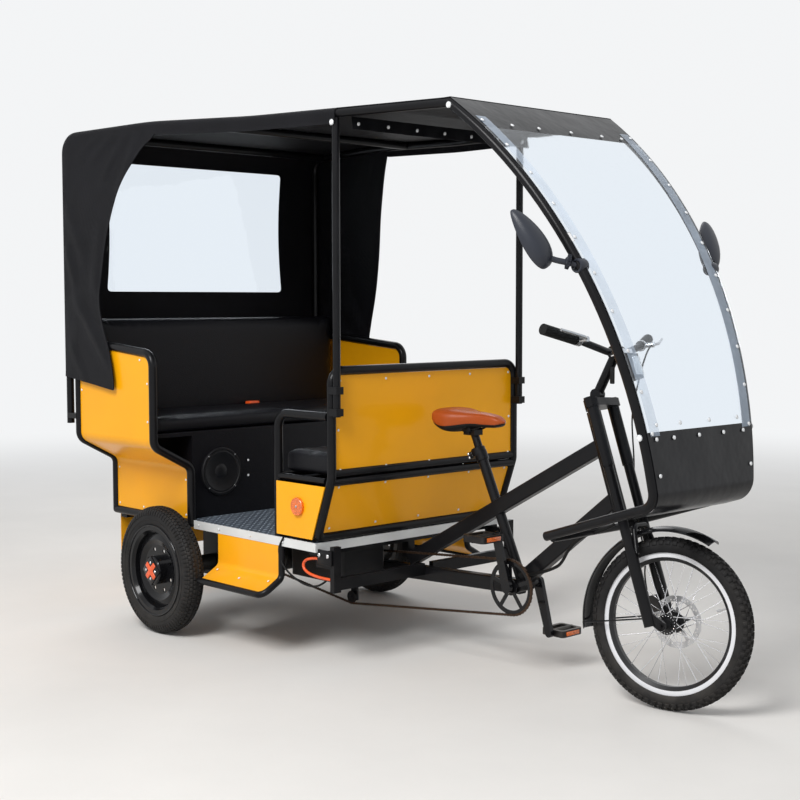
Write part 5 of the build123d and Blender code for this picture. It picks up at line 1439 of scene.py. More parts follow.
# %% Mirrors
MIRROR_SHARE = 0.51
CLAMP = [
    (-0.017, 0.0145), (-0.017, 0.0185), (-0.013, 0.0205),
    (0.013, 0.0205), (0.017, 0.0185), (0.017, 0.0145),
]
mirror_shell = grained(
    "mirror_shell", (0.020, 0.023, 0.032), 0.38, 800.0, 0.4, 0.2, 0.0002, gloss=0.4
)
mirror_glass = cloudy(
    "mirror_glass", (0.86, 0.88, 0.90), 0.04, (20.0,), 0.06, (4.0, 0.0002), metallic=1.0
)


def teardrop(size, deep, flat):
    """A shell along Z: half sizes across and up, and its depth in front and behind."""
    clear()
    bpy.ops.mesh.primitive_uv_sphere_add(
        segments=32, ring_count=20, radius=1, location=(0, 0, 0)
    )
    made = bpy.context.object
    for vertex in made.data.vertices:
        x, y, z = vertex.co
        taper = 1.0 - 0.48 * (z + 1) / 2 - 0.08 * z * z
        square = max(abs(y), 1e-6) ** 0.72 * sign(y)
        depth = deep * x * (1 - 0.25 * z) if x > 0 else flat * x
        vertex.co = (depth, size[0] * square * taper, size[1] * z)
    return made


mirror_parts, glass_parts = [], []
for side in (-1, 1):
    distance, height = on_screen(MIRROR_SHARE, 0)
    foot = Vector((ahead(distance), side * hoop_half(height), height))
    centre = foot + Vector((-0.092, side * 0.108, 0.074))
    up = Vector((-0.36, side * 0.40, 0.86)).normalized()
    left = up.cross(Vector((0.95, -side * 0.12, 0.05)).normalized()).normalized()
    shell_frame = axes_at(centre, left.cross(up), left, up)
    shell = moved(teardrop((0.054, 0.094), 0.036, 0.006), shell_frame)
    done(shell, 40)
    glass = moved(teardrop((0.047, 0.085), 0.002, 0.0075), shell_frame)
    done(glass, 40)
    glass_parts.append(glass)
    elbow = centre + Vector((0.018, -side * 0.020, -0.034))
    wrist = foot + Vector((-0.020, side * 0.022, 0.008))
    middle = (elbow + wrist) / 2 + Vector((-0.004, side * 0.010, -0.006))
    start = elbow - Vector((0.014, -side * 0.012, -0.012))
    arm = tube("arm", [start, elbow, middle, wrist, foot], 0.0088)
    boss_at = facing(elbow + Vector((0.002, -side * 0.002, 0)), elbow - centre)
    boss = moved(stud(0.019, 0.016, 20), boss_at)
    ball_at = facing(wrist + Vector((0.006, -side * 0.006, 0)), wrist - foot)
    ball = moved(stud(0.0165, 0.024, 20), ball_at)
    along = screen_frame(MIRROR_SHARE, 0).to_3x3() @ Vector((1, 0, 0))
    clamp_at = facing(foot, (0, 1, 0), along) @ Matrix.Rotation(radians(90), 4, "X")
    clamp = moved(lathe("clamp", CLAMP, 28), clamp_at)
    mirror_parts += [shell, arm, boss, ball, clamp]
mirrors = join("mirror_shells", *mirror_parts)
done(mirrors, 45)
hand_over(mirrors, "chassis", mirror_shell, ["mirrors"])
hand_over(join("mirror_faces", *glass_parts), "chassis", mirror_glass)

# %% [markdown]
# Larger white bolts hold the hoop, and the roof's front flap has its own row of snaps under
# the cross tube, just inside the front posts.

# %% Hoop bolts and the flap under the roof
FLAP_HALF = 0.405
SNAP_PITCH = 0.128

bolt_spots = []
for side in (-1, 1):
    for share in (0.012, 0.895):
        distance, height = on_screen(share, 0)
        spot = (ahead(distance), side * (hoop_half(height) + 0.0135), height)
        bolt_spots.append(facing(spot, (0, side, 0)))
    bolt_spots.append(facing((ahead(0.873), side * 0.4468, 1.762), (0, side, 0)))
fasten("hoop_bolts", (0.0095, 0.0065, 16), bolt_spots, "chassis", white_snap)


def flap_spot(row, column):
    """The short flap hangs from the cross tube, a little slack between its snaps."""
    across = FLAP_HALF * (column / 30 - 1)
    fall = row / 6
    slack = 0.0025 * sin(across * 2 * pi / SNAP_PITCH) * fall
    return ahead(0.918) + 0.006 * fall + slack, across, 1.7795 - 0.034 * fall - 0.2 * abs(slack)


flap = shaped_grid("roof_flap", 7, 61, flap_spot)
wall = flap.modifiers.new("wall", "SOLIDIFY")
wall.thickness = 0.0012
apply_all(flap)
done(flap, 60)
hand_over(flap, "chassis", canopy_cloth)
flap_spots = [
    facing((ahead(0.9252), SNAP_PITCH * i, 1.757), (1, 0, -0.1)) for i in range(-3, 4)
]
fasten("flap_snaps", (0.006, 0.004, 12), flap_spots, "chassis", white_snap)

# %% [markdown]
# The CAD wheels have their real shape, and their finish changes with the distance from the
# axle: the front rim is silver only on its outer band, and the hub is black between silver
# spokes. The distance is worked out in the wheel's own frame, so it turns with the wheel.

# %% Finishes by distance from the axle


def axle_distance(tree, wheel):
    """Distance of the shaded point from the wheel's axle."""
    inverse = wheel.inverted()
    local = node(
        tree, "ShaderNodeMapping", Location=inverse.translation, Rotation=inverse.to_euler()
    )
    feed(tree, local.inputs["Vector"], object_place(tree))
    place = split(tree, local.outputs[0])
    squares = [math_node(tree, "MULTIPLY", place[axis], place[axis]) for axis in "XZ"]
    return math_node(tree, "SQRT", math_node(tree, "ADD", *squares), 0.0)


def two_tone(name, limit, inside, outside, roughness, outside_metal):
    """One colour within a distance from the front axle and another beyond it."""
    made, tree, shader = finish_of(name, inside, roughness, gloss=0.4)
    beyond = math_node(tree, "GREATER_THAN", axle_distance(tree, FRONT_WHEEL), limit)
    colours = blend(tree, beyond, (*inside, 1), (*outside, 1))
    feed(tree, shader.inputs["Base Color"], colours)
    if outside_metal:
        feed(tree, shader.inputs["Metallic"], beyond)
    add_bump(tree, shader, noise_of(tree, 260.0), 0.0001)
    return made


RIM_BAND, HUB_RADIUS = 0.1955, 0.0315
rim = two_tone(
    "rim_two_tone", RIM_BAND, (0.012, 0.012, 0.013), (0.78, 0.78, 0.80), 0.3, False
)
hub = two_tone(
    "hub_and_spokes", HUB_RADIUS, (0.014, 0.014, 0.015), (0.80, 0.80, 0.82), 0.24, True
)
put_finish(frame["nodes"]["front_rim"], rim)
put_finish(frame["nodes"]["front_hub"], hub)
print("two finishes change with the distance from the axle")

# %% [markdown]
# The brake disc is a thin steel ring with a wavy edge and rows of drilled holes, carried by
# five arms on the hub. The ring is pulled wavy from a circle, extruded and then drilled by
# taking away three rings of pins.

# %% Brake disc
DISC_SIDE = 0.040
DISC_THICK = 0.0018
# Each ring of holes: its radius and its shift as a share of the pitch
HOLE_RINGS = ((0.0665, 0.0), (0.0715, 0.5), (0.0655, 0.33))


def turned_flat(count, shift=0.0):
    """This many even turns about the Z axis."""
    return [Matrix.Rotation(2 * pi * (i + shift) / count, 4, "Z") for i in range(count)]


def brake_disc():
    """A wavy ring, extruded from a flat outline and drilled."""
    clear()
    bpy.ops.mesh.primitive_circle_add(vertices=180, radius=0.0785, location=(0, 0, 0))
    ring = bpy.context.object
    for vertex in ring.data.vertices:
        angle = atan2(vertex.co.y, vertex.co.x)
        vertex.co *= 1 - 0.016 * (1 - cos(12 * angle)) / 2
    edit(ring)
    bpy.ops.mesh.extrude_region_move()
    bpy.ops.transform.resize(value=(0.78, 0.78, 1))
    bpy.ops.mesh.select_all(action="SELECT")
    bpy.ops.mesh.extrude_region_move(TRANSFORM_OT_translate={"value": (0, 0, DISC_THICK)})
    bpy.ops.object.mode_set(mode="OBJECT")
    done(ring, 30)
    pins = []
    for radius, shift in HOLE_RINGS:
        clear()
        bpy.ops.mesh.primitive_cylinder_add(
            vertices=10, radius=0.0026, depth=0.01, location=(radius, 0, 0)
        )
        pins.append(copies(place_piece(bpy.context.object), "pins", turned_flat(12, shift)))
    drill = join("drill", *pins)
    cut = ring.modifiers.new("drilled", "BOOLEAN")
    cut.operation, cut.object, cut.solver = "DIFFERENCE", drill, "EXACT"
    apply_all(ring)
    bpy.data.objects.remove(drill)
    out = Matrix.Translation((0.041, 0, DISC_THICK / 2))
    arms = [block((0.046, 0.010, DISC_THICK), 0.0006, turn @ out) for turn in turned_flat(5)]
    return join("brake_rotor", ring, *arms)


beside_hub = Matrix.Translation((0, DISC_SIDE, 0)) @ Matrix.Rotation(radians(-90), 4, "X")
rotor = moved(brake_disc(), FRONT_WHEEL @ beside_hub)
done(rotor, 30)
hand_over(rotor, "front_wheel", steel, ["brake_disc"])

# %% [markdown]
# Each hub flange shows a ring of bright spoke heads, and every spoke ends in a nipple at the
# rim. The valve stands on the rim's inside. They are all made round the origin first.

# %% Spoke heads, nipples and valve
NIPPLE = [(-0.004, 0.0016), (-0.004, 0.0022), (0.004, 0.0019), (0.004, 0.0012)]
VALVE_CAP = [(-0.007, 0.0), (-0.007, 0.0038), (0.005, 0.0042), (0.006, 0.0)]


def upright(distance):
    """Stand a turned piece on the wheel's radius, this far from the axle."""
    return Matrix.Translation((0, 0, distance)) @ Matrix.Rotation(radians(90), 4, "X")


heads = []
for side in (-1, 1):
    head_at = facing((0.0255, side * 0.0296, 0), (0, side, 0), (1, 0, 0))
    head = moved(stud(0.0022, 0.0022, 8), head_at)
    heads.append(copies(head, "heads", turned_about_axle(18)))
spoke_heads = moved(join("spoke_heads", *heads), FRONT_WHEEL)
done(spoke_heads, 40)
hand_over(spoke_heads, "front_wheel", bright_alloy)
nipple = moved(lathe("nipple", NIPPLE, 8), upright(0.1935))
nipples = copies(nipple, "spoke_nipples", turned_about_axle(36))
valve = tube("valve", [(0, 0, 0.196), (0, 0, 0.178), (0, 0, 0.160)], 0.003)
valve_cap = moved(lathe("valve_cap", VALVE_CAP, 12), upright(0.159))
fittings = join("wheel_fittings", nipples, valve, valve_cap)
moved(fittings, FRONT_WHEEL @ Matrix.Rotation(radians(88), 4, "Y"))
done(fittings, 40)
hand_over(fittings, "front_wheel", steel)

# %% [markdown]
# Each rear wheel is a dished black disc. Its hub carries a dark rounded-square cap with an
# orange four-armed cover, with silver domed bolts between the arms. Two rolled lips run
# round the dish.

# %% Rear wheel caps
AXLE_HEIGHT = REAR_TYRE[0]
# Each lip: its reach along the axle, its radius and the radius of its rolled wire
LIPS = ((0.0345, 0.1625, 0.0032), (0.0290, 0.1490, 0.0028))


def four_arms(core, reach, thick):
    """A cross grown from a cube by extruding its four sides."""
    clear()
    bpy.ops.mesh.primitive_cube_add(
        size=1, scale=(core, core, thick), location=(0, 0, thick / 2)
    )
    made = place_piece(bpy.context.object)
    for direction in (Vector((1, 0, 0)), Vector((-1, 0, 0)), Vector((0, 1, 0)), Vector((0, -1, 0))):
        middle = direction.xy * core / 2

        def on_side(face):
            return (face.center.xy - middle).length < 0.001 and abs(face.normal.z) < 0.5

        select_faces(made, on_side)
        bpy.ops.mesh.extrude_region_move(TRANSFORM_OT_translate={"value": reach * direction})
        bpy.ops.object.mode_set(mode="OBJECT")
    soften = made.modifiers.new("soften", "BEVEL")
    soften.width, soften.segments, soften.limit_method = 0.0035, 3, "ANGLE"
    apply_all(made)
    done(made, 40)
    return made


for side, word in ((-1, "right"), (1, "left")):
    wheel = f"{word}_rear_wheel"
    face_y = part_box(f"rear_wheel_{word}")[0 if side < 0 else 1][1]
    hub = facing((ahead(0), face_y - side * 0.003, AXLE_HEIGHT), (0, side, 0))
    on_corner = Matrix.Rotation(radians(45), 4, "Z")
    cap = block((0.078, 0.078, 0.014), 0.005, hub @ on_corner, f"hub_cap_{word}")
    hand_over(cap, wheel, gloss_black)
    cross_at = hub @ Matrix.Translation((0, 0, 0.004)) @ on_corner
    cross = moved(four_arms(0.019, 0.026, 0.006), cross_at)
    cross.name = f"hub_cross_{word}"
    hand_over(cross, wheel, orange_plastic)
    rings = []
    for reach, radius, wire in LIPS:
        turns = [2 * pi * k / 10 for k in range(11)]
        loop = [(reach + wire * cos(turn), radius + wire * sin(turn)) for turn in turns]
        rings.append(lathe("ring", loop, 96))
    outwards = Matrix.Rotation(radians(180 if side < 0 else 0), 4, "Z")
    axle_end = Matrix.Translation((ahead(0), side * HALF_TRACK, AXLE_HEIGHT))
    lip = moved(join(f"rim_lip_{word}", *rings), axle_end @ outwards)
    done(lip, 60)
    hand_over(lip, wheel, gloss_black)
    between_arms = Matrix.Translation((0.029, 0, 0.005))
    spots = [hub @ turn @ between_arms for turn in turned_flat(4)]
    fasten(f"hub_bolts_{word}", (0.0055, 0.005, 12), spots, wheel, bright_alloy)
    print(word, "hub face at", round(face_y, 4))

# %% [markdown]
# The saddle is a moulded shell under padded leather: wide and raised behind, narrow and
# slightly drooping in front. A sphere with its poles along the saddle is pulled to tables of
# half width, top and underside, so the ends stay closed. Below it are a black base, a rubber
# bumper, two steel rails and their clamp.

# %% Saddle
REAR_TIP, FRONT_TIP = [Vector(corner).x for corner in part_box("saddle")]
# Each table runs from the rear tip, 0, to the front tip, 1
HALF_WIDTHS = [
    (0, 0), (0.02, 0.056), (0.06, 0.076), (0.15, 0.084), (0.3, 0.083), (0.42, 0.064),
    (0.55, 0.042), (0.7, 0.032), (0.88, 0.028), (0.96, 0.020), (1, 0),
]
TOPS = [
    (0, 0.832), (0.05, 0.843), (0.16, 0.846), (0.32, 0.845), (0.5, 0.836), (0.7, 0.835),
    (0.88, 0.829), (1, 0.812),
]
UNDERS = [
    (0, 0.806), (0.08, 0.790), (0.2, 0.770), (0.32, 0.767), (0.45, 0.782), (0.55, 0.791),
    (0.75, 0.790), (0.9, 0.792), (1, 0.802),
]


def saddle_form(grow=0.0, drop=0.0):
    """The saddle's closed form, grown by a distance and dropped by another."""
    clear()
    bpy.ops.mesh.primitive_uv_sphere_add(
        segments=40, ring_count=36, radius=1, location=(0, 0, 0)
    )
    made = bpy.context.object
    start, run = REAR_TIP + 0.002 - grow, FRONT_TIP - REAR_TIP - 0.004 + 2 * grow
    for vertex in made.data.vertices:
        up, across, along = vertex.co
        share = (1 - cos(pi * (along + 1) / 2)) / 2
        ring = hypot(up, across) or 1
        side, lift = across / ring, up / ring
        width = between(HALF_WIDTHS, share) + (grow if 0 < share < 1 else 0)
        top, low = between(TOPS, share), between(UNDERS, share)
        middle, tall = (top + low) / 2, (top - low) / 2 + grow
        rounding = min(1.0, sqrt(max(share, 0) / 0.06), sqrt(max(1 - share, 0) / 0.06))
        round_side = abs(side) ** 0.65 * sign(side)
        round_lift = abs(lift) ** (0.75 if lift > 0 else 0.5) * sign(lift)
        height = middle + tall * rounding * round_lift - drop
        vertex.co = (start + run * share, width * round_side, height)
    smooth = made.modifiers.new("smooth", "SMOOTH")
    smooth.factor, smooth.iterations = 0.5, 5
    finer = made.modifiers.new("finer", "SUBSURF")
    finer.levels = finer.render_levels = 1
    apply_all(made)
    done(made, 60)
    return made


saddle_top = saddle_form()
saddle_top.name = "saddle_leather"
hand_over(saddle_top, "chassis", brown_leather, ["saddle"])

# %% [markdown]
# Under the leather, the base is the same form, a little smaller and lower and with its top cut
# off, so it shows as a black edge. The rails run from the bumper behind to the nose in front.

# %% Saddle base, rails and clamp
base = saddle_form(-0.0015, 0.0055)
select_faces(base, lambda face: face.normal.z > 0.35)
bpy.ops.mesh.delete(type="FACE")
bpy.ops.object.mode_set(mode="OBJECT")
rim = base.modifiers.new("wall", "SOLIDIFY")
rim.thickness = 0.0015
apply_all(base)
done(base, 50)
down, left, forward = Vector((0, 0, -1)), Vector((0, 1, 0)), Vector((1, 0, 0))
bumper_at = axes_at(Vector((REAR_TIP + 0.047, 0, 0.788)), down, left, forward)
bumper = moved(teardrop((0.052, 0.030), 0.022, 0.02), bumper_at)
done(bumper, 50)
post_x = Vector(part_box("seat_post")[0]).x + 0.018
rails = []
for side in (-1, 1):
    line = [
        (REAR_TIP + 0.035, side * 0.030, 0.795),
        (REAR_TIP + 0.070, side * 0.028, 0.779),
        (post_x - 0.03, side * 0.021, 0.7765),
        (post_x + 0.035, side * 0.021, 0.7765),
        (FRONT_TIP - 0.090, side * 0.012, 0.797),
        (FRONT_TIP - 0.055, side * 0.006, 0.805),
    ]
    rails.append(tube("rail", line, 0.0035))
clamp = block((0.040, 0.058, 0.018), 0.004, Matrix.Translation((post_x, 0, 0.7775)))
jaw = block((0.026, 0.050, 0.012), 0.004, Matrix.Translation((post_x, 0, 0.7655)))
under = join("saddle_underside", base, bumper, *rails, clamp, jaw)
hand_over(under, "chassis", grip_rubber)

# %% [markdown]
# Small fastenings carry much of the look: white domed screws along every yellow panel, and
# silver bolts on brackets. One screw is modelled, and it is copied to each place with its
# axis square to the panel that it holds.

# %% Panel screws
WALL_FACE = 0.8472
KNEE_HEIGHT = 0.630
FOOT_SLOPE = (0.845 - 0.772) / (KNEE_HEIGHT - 0.428)
STEP_OUT, STEP_FALL = 0.0715, 0.042
# Screws on one side, as (ahead of the rear axle, height)
UPPER_SCREWS = (
    (0.006, 0.993), (0.052, 0.910), (0.052, 0.775), (-0.392, 0.870), (-0.392, 0.990), (-0.2, 1.015),
)
LOWER_SCREWS = (
    (-0.390, 0.567), (0.054, 0.556), (-0.390, 0.428), (-0.225, 0.428), (-0.075, 0.428),
    (0.054, 0.428),
)
TRIM_SCREWS = ((0.125, 0.397), (0.249, 0.397), (0.43, 0.397), (0.611, 0.397))

screw_spots = []


def screw(distance, across, height, normal):
    """Put a screw this far ahead of the rear axle, its head looking along the normal."""
    screw_spots.append(facing((ahead(distance), across, height), normal))


for across in (-0.398, -0.197, 0.004, 0.204, 0.402):
    screw(WALL_FACE, across, 0.945, (1, 0, 0))
    screw(WALL_FACE, across, 0.655, (1, 0, 0))
for across in (-0.395, -0.19, 0.01, 0.21, 0.395):
    for height in (0.598, 0.458):
        distance = WALL_FACE - (KNEE_HEIGHT - height) * FOOT_SLOPE + 0.0003
        screw(distance, across, height, (1, 0, -FOOT_SLOPE))
for side in (-1, 1):
    screw(WALL_FACE, side * 0.406, 0.785, (1, 0, 0))
    for across, row in ((0.6092, UPPER_SCREWS), (0.4512, LOWER_SCREWS), (0.4484, TRIM_SCREWS)):
        for distance, height in row:
            screw(distance, side * across, height, (0, side, 0))
    for distance, share in ((0.27, 0.35), (0.415, 0.55), (0.56, 0.35)):
        across = side * (0.4465 + STEP_OUT * share)
        screw(distance, across, 0.274 - STEP_FALL * share, (0, side * STEP_FALL, STEP_OUT))
    for height in (0.607, 0.550):
        screw(0.0604, side * 0.176, height, (1, 0, 0))
for across in (-0.57, -0.29, 0.0, 0.29, 0.57):
    screw(-0.4212, across, 0.715, (-1, 0, 0))
for across in (-0.41, -0.14, 0.14, 0.41):
    screw(-0.4212, across, 0.428, (-1, 0, 0))
    screw(-0.4195, across, 0.392, (-1, 0, 0))
fasten("panel_screws", (0.0046, 0.0028, 10), screw_spots, "chassis", white_snap)
print(len(screw_spots), "screws")

# %% [markdown]
# A speaker is set into each end of the bench's front. It is turned: a rolled surround, a
# shallow cone and a dust dome. The side reflectors have a dark rim and a screw in the middle.

# %% Speakers and reflector rims
SPEAKER_SIDE, SPEAKER_HEIGHT = 0.302, 0.576
SCREW_CIRCLE = 0.0825
SPEAKER = [
    (0.0, 0.088), (0.008, 0.0875), (0.0100, 0.085), (0.0100, 0.080), (0.0075, 0.077),
    (0.0092, 0.072), (0.0075, 0.067), (0.0025, 0.045), (0.0022, 0.027), (0.0062, 0.020),
    (0.0078, 0.010), (0.0080, 0.0),
]
REFLECTOR_AT = (ahead(0.697), 0.4514, 0.526)
REFLECTOR_RIM = [
    (0.0, 0.0302), (0.0085, 0.0300), (0.0098, 0.0285), (0.0098, 0.0262), (0.0088, 0.0255),
]

speakers, speaker_spots = [], []
for side in (-1, 1):
    across = side * SPEAKER_SIDE
    spot = Matrix.Translation((ahead(0.0603), across, SPEAKER_HEIGHT))
    face_ahead = spot @ Matrix.Rotation(radians(-90), 4, "Z")
    speakers.append(moved(lathe("speaker", SPEAKER, 48), face_ahead))
    for angle in [radians(45 + 90 * i) for i in range(4)]:
        y, z = SCREW_CIRCLE * cos(angle), SCREW_CIRCLE * sin(angle)
        spot = (ahead(0.0702), across + y, SPEAKER_HEIGHT + z)
        speaker_spots.append(facing(spot, (1, 0, 0)))
speaker_pair = join("speaker_cones", *speakers)
done(speaker_pair, 30)
hand_over(speaker_pair, "chassis", black_plastic, ["speakers"])
fasten("speaker_screws", (0.0032, 0.002, 8), speaker_spots, "chassis", steel)

rims, reflector_spots = [], []
for side in (-1, 1):
    x, y, z = REFLECTOR_AT
    rim_ring = lathe("rim_ring", [(side * reach, radius) for reach, radius in REFLECTOR_RIM], 40)
    rims.append(moved(rim_ring, Matrix.Translation((x, side * y, z))))
    reflector_spots.append(facing((x, side * (y + 0.0088), z), (0, side, 0)))
reflector_rims = join("reflector_rims", *rims)
done(reflector_rims, 40)
hand_over(reflector_rims, "chassis", amber)
fasten("reflector_screws", (0.0042, 0.003, 12), reflector_spots, "chassis", steel)

# %% [markdown]
# The chain is one link modelled once and copied along its path: the straight runs between the
# three sprockets, and the arcs round them. The path is worked out from the sprockets' places.

# %% Chain
CHAIN_SIDE = -0.060
# Each sprocket: ahead of the rear axle, height, and the radius of the chain round it
SPROCKETS = ((1.285, 0.288, 0.0885), (0.0, 0.231, 0.0465), (0.516, 0.140, 0.0225))
PITCH = 0.0127


def tangent(first, second):
    """Where a belt leaves the first circle and reaches the second, both turned the same way."""
    run = hypot(second[0] - first[0], second[1] - first[1])
    lean = atan2(second[1] - first[1], second[0] - first[0])
    tilt = (first[2] - second[2]) / run
    angle = lean - (pi / 2 - tilt * (1 + tilt * tilt / 6))
    return angle, [(c[0] + c[2] * cos(angle), c[1] + c[2] * sin(angle)) for c in (first, second)]


belt = []
spans = [tangent(SPROCKETS[i], SPROCKETS[(i + 1) % 3]) for i in range(3)]
for i, (x, z, radius) in enumerate(SPROCKETS):
    angle_in, angle_out = spans[i - 1][0], spans[i][0]
    while angle_out < angle_in:
        angle_out += 2 * pi
    for angle in spread(angle_in, angle_out, max(2, int((angle_out - angle_in) * radius / 0.004))):
        belt.append((x + radius * cos(angle), z + radius * sin(angle)))
    (x0, z0), (x1, z1) = spans[i][1]
    steps = max(2, int(hypot(x1 - x0, z1 - z0) / 0.02))
    belt += [(x0 + (x1 - x0) * k / steps, z0 + (z1 - z0) * k / steps) for k in range(steps)]
belt.append(belt[0])
lengths = [0.0]
for (x0, z0), (x1, z1) in zip(belt, belt[1:]):
    lengths.append(lengths[-1] + hypot(x1 - x0, z1 - z0))
links = round(lengths[-1] / PITCH / 2) * 2
print("chain path", round(lengths[-1], 3), "m,", links, "links")


def along_belt(reach):
    """Point and direction at this length along the belt."""
    reach %= lengths[-1]
    for k in range(len(belt) - 1):
        if lengths[k + 1] >= reach:
            share = (reach - lengths[k]) / max(lengths[k + 1] - lengths[k], 1e-9)
            (x0, z0), (x1, z1) = belt[k], belt[k + 1]
            return (x0 + (x1 - x0) * share, z0 + (z1 - z0) * share), atan2(z1 - z0, x1 - x0)


def chain_link(width):
    """A waisted link: a small block drawn in at its middle."""
    clear()
    bpy.ops.mesh.primitive_cube_add(size=1, scale=(0.0200, width, 0.0085), location=(0, 0, 0))
    made = place_piece(bpy.context.object)
    edit(made)
    bpy.ops.mesh.subdivide(number_cuts=1)
    bpy.ops.object.mode_set(mode="OBJECT")
    for vertex in made.data.vertices:
        if abs(vertex.co.x) < 0.001:
            vertex.co.z *= 0.62
        elif abs(vertex.co.z) > 0.001:
            vertex.co.x *= 0.8
    return made


link_pairs = []
for parity, width in ((0, 0.0072), (1, 0.0046)):
    frames = []
    for i in range(parity, links, 2):
        (x, z), slope = along_belt(lengths[-1] * i / links)
        spot = Matrix.Translation((ahead(x), CHAIN_SIDE, z))
        frames.append(spot @ Matrix.Rotation(-slope, 4, "Y"))
    link_pairs.append(copies(chain_link(width), f"links_{parity}", frames))
chain = join("chain_links", *link_pairs)
done(chain, 30)
rusty_steel = brushed("rusty_steel", (0.075, 0.048, 0.033), 0.45, 0.4)
hand_over(chain, "chassis", rusty_steel, ["chain"])

# %% [markdown]
# On the handlebar are a pale display on its bracket, the key that hangs from it, the lamp's
# glass and silver brake levers. They are placed in the steering's own frame.

# %% Display, key and levers
put_finish(frame["nodes"]["brake_levers"], steel)
display_at = STEER @ Matrix.Translation((0.140, 0, 0.8115))
display = block((0.040, 0.074, 0.017), 0.004, display_at, "display_case")
select_faces(display, lambda face: (STEER.inverted().to_3x3() @ face.normal).z > 0.95)
bpy.ops.mesh.inset(thickness=0.004, depth=-0.001)
bpy.ops.object.mode_set(mode="OBJECT")
hand_over(display, "steering", bright_alloy)
lamp_at = STEER @ Matrix.Translation((0.1812, 0, 0.7595))
lamp_glass = block((0.003, 0.048, 0.058), 0.001, lamp_at, "headlight_glass")
hand_over(lamp_glass, "steering", lamp_lens)

# The key's ring passes through the bracket, and its fob hangs straight down from it
ring_at = STEER @ Vector((0.112, -0.0125, 0.7985))
ring_turns = [2 * pi * i / 16 for i in range(17)]
ring_offsets = [Vector((0.012 * cos(a), 0, 0.012 * sin(a) - 0.010)) for a in ring_turns]
key_ring = tube("key_ring", [ring_at + offset for offset in ring_offsets], 0.0009, sides=2)
fob = block((0.016, 0.007, 0.052), 0.003, Matrix.Translation(ring_at + Vector((0, 0, -0.047))))
key = join("key_and_fob", key_ring, fob)
done(key, 40)
hand_over(key, "steering", black_plastic)

# %% [markdown]
# A split collar clamps the seat post: a turned ring round the post's slanting line, with a lug
# behind that two bolts pull shut. Each pedal has an amber reflector at both ends.

# %% Seat collar and pedal reflectors
SEAT_LINE = Vector((0.232, 0, -0.488)).normalized()
COLLAR = [
    (-0.013, 0.0170), (-0.013, 0.0225), (-0.011, 0.0240),
    (0.011, 0.0240), (0.013, 0.0225), (0.013, 0.0170),
]
# The middle of each pedal, as (ahead of the rear axle, height)
PEDALS = (("right", (1.2381, 0.4514), -1), ("left", (1.3319, 0.1246), 1))

collar_at = Vector((ahead(1.0870), 0, 0.704))
seat_turn = axes_at(collar_at, SEAT_LINE.cross(Vector((0, 1, 0))), -SEAT_LINE, Vector((0, 1, 0)))
collar = moved(lathe("collar", COLLAR, 32), seat_turn)
lug = block((0.020, 0.024, 0.020), 0.003, seat_turn @ Matrix.Translation((-0.031, 0, 0)))
seat_collar = join("seat_collar", collar, lug)
done(seat_collar, 40)
hand_over(seat_collar, "chassis", black_paint)
collar_spots = [
    facing(seat_turn @ Vector((-0.036, height, -0.0102)), (0, -1, 0)) for height in (-0.006, 0.006)
]
fasten("collar_bolts", (0.0042, 0.006, 10), collar_spots, "chassis", bright_alloy)

for word, (distance, height), side in PEDALS:
    plates = []
    for end in (-1, 1):
        spot = Matrix.Translation((ahead(distance) + end * 0.0465, side * 0.138, height))
        plates.append(block((0.0030, 0.062, 0.0135), 0.001, spot))
    hand_over(join(f"pedal_reflectors_{word}", *plates), f"{word}_pedal", amber)

# %% [markdown]
# Cables. Each one follows a few points as a smooth line: the power lead loops out of the
# underframe and back, the brake hose runs from the lever down the fork, a lead hangs from the
# floor's edge to the bracket, and a loom follows the lower tube to the steering head.

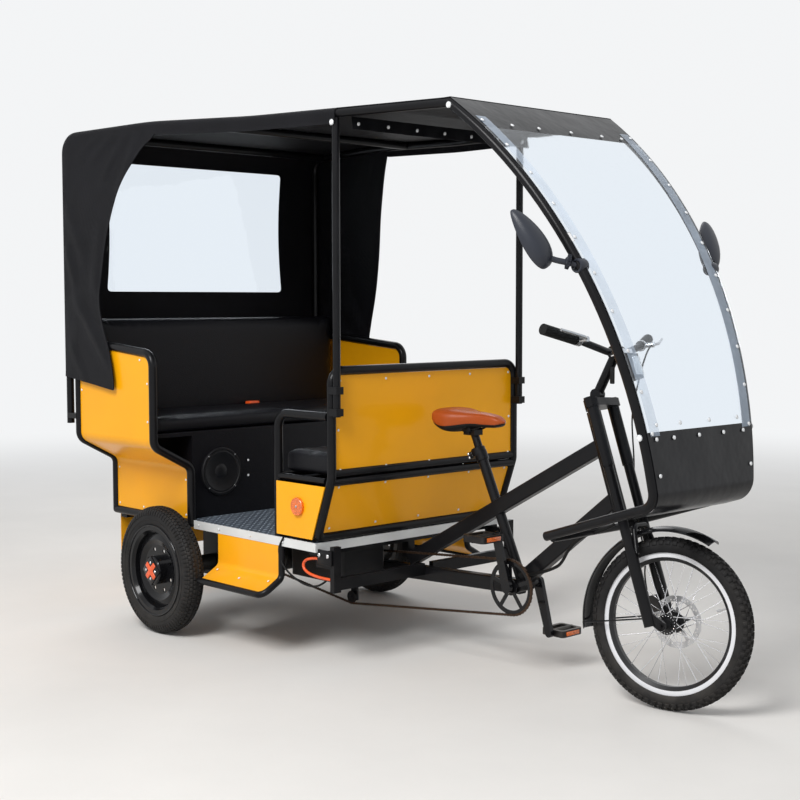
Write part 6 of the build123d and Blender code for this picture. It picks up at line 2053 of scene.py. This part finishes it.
# %% Cables
# Points as (ahead of the rear axle, across, height), and the hose's in the steering's frame
POWER_LEAD = [
    (0.8317, -0.424, 0.360), (0.6927, -0.426, 0.363), (0.6927, -0.429, 0.293),
    (0.8317, -0.426, 0.297),
]
HANGING_LEAD = [
    (0.617, -0.4515, 0.412), (0.600, -0.4530, 0.390), (0.592, -0.4530, 0.360),
    (0.615, -0.4520, 0.315), (0.668, -0.4470, 0.282), (0.735, -0.4400, 0.262),
    (0.790, -0.4300, 0.272), (0.815, -0.4200, 0.300),
]
LOOM = [
    (1.330, -0.022, 0.330), (1.385, -0.030, 0.345), (1.440, -0.034, 0.366),
    (1.475, -0.036, 0.386), (1.507, -0.036, 0.442), (1.560, -0.034, 0.486),
    (1.625, -0.028, 0.505), (1.668, -0.020, 0.530),
]
BRAKE_HOSE = [
    (0.1471, 0.2068, 0.8417), (0.156, 0.167, 0.830), (0.150, 0.125, 0.795),
    (0.132, 0.098, 0.742), (0.104, 0.086, 0.686), (0.078, 0.084, 0.628),
    (0.060, 0.090, 0.566), (0.044, 0.096, 0.506), (0.026, 0.096, 0.446),
    (0.012, 0.090, 0.386), (0.007, 0.084, 0.324), (0.008, 0.080, 0.262),
    (0.005, 0.076, 0.200), (-0.005, 0.053, 0.146), (-0.005, 0.050, 0.0924),
]


def cable(name, points, radius, finish, replaced=()):
    """A cable on the chassis, through points ahead of the rear axle."""
    made = tube(name, [(ahead(x), y, z) for x, y, z in points], radius)
    hand_over(made, "chassis", finish, replaced)


cable("power_lead", POWER_LEAD, 0.005, orange_plastic, ["cable_power"])
brake_hose = tube("brake_hose", [STEER @ Vector(point) for point in BRAKE_HOSE], 0.0025)
hand_over(brake_hose, "steering", grip_rubber, ["cable_brake"])
cable("hanging_lead", HANGING_LEAD, 0.0035, grip_rubber)
cable("cable_loom", LOOM, 0.005, grip_rubber)

# %% [markdown]
# Last, the plate that holds the power lead's end, with two bolts, and the red buckle of the
# passengers' belt lying on the bench.

# %% Lead plate and belt buckle


def small_block(name, size, bevel, middle, finish):
    """A block on the chassis, its middle as (ahead of the rear axle, across, height)."""
    distance, across, height = middle
    spot = Matrix.Translation((ahead(distance), across, height))
    hand_over(block(size, bevel, spot, name), "chassis", finish)


small_block("lead_plate", (0.070, 0.006, 0.050), 0.002, (0.812, -0.4362, 0.368), black_paint)
plate_spots = [facing((ahead(x), -0.4392, 0.376), (0, -1, 0)) for x in (0.792, 0.834)]
fasten("plate_bolts", (0.0072, 0.006, 12), plate_spots, "chassis", bright_alloy)
small_block("belt_buckle", (0.030, 0.052, 0.016), 0.004, (-0.290, 0.113, 0.790), orange_plastic)
small_block("belt_end", (0.046, 0.042, 0.004), 0.0015, (-0.262, 0.113, 0.786), canopy_cloth)
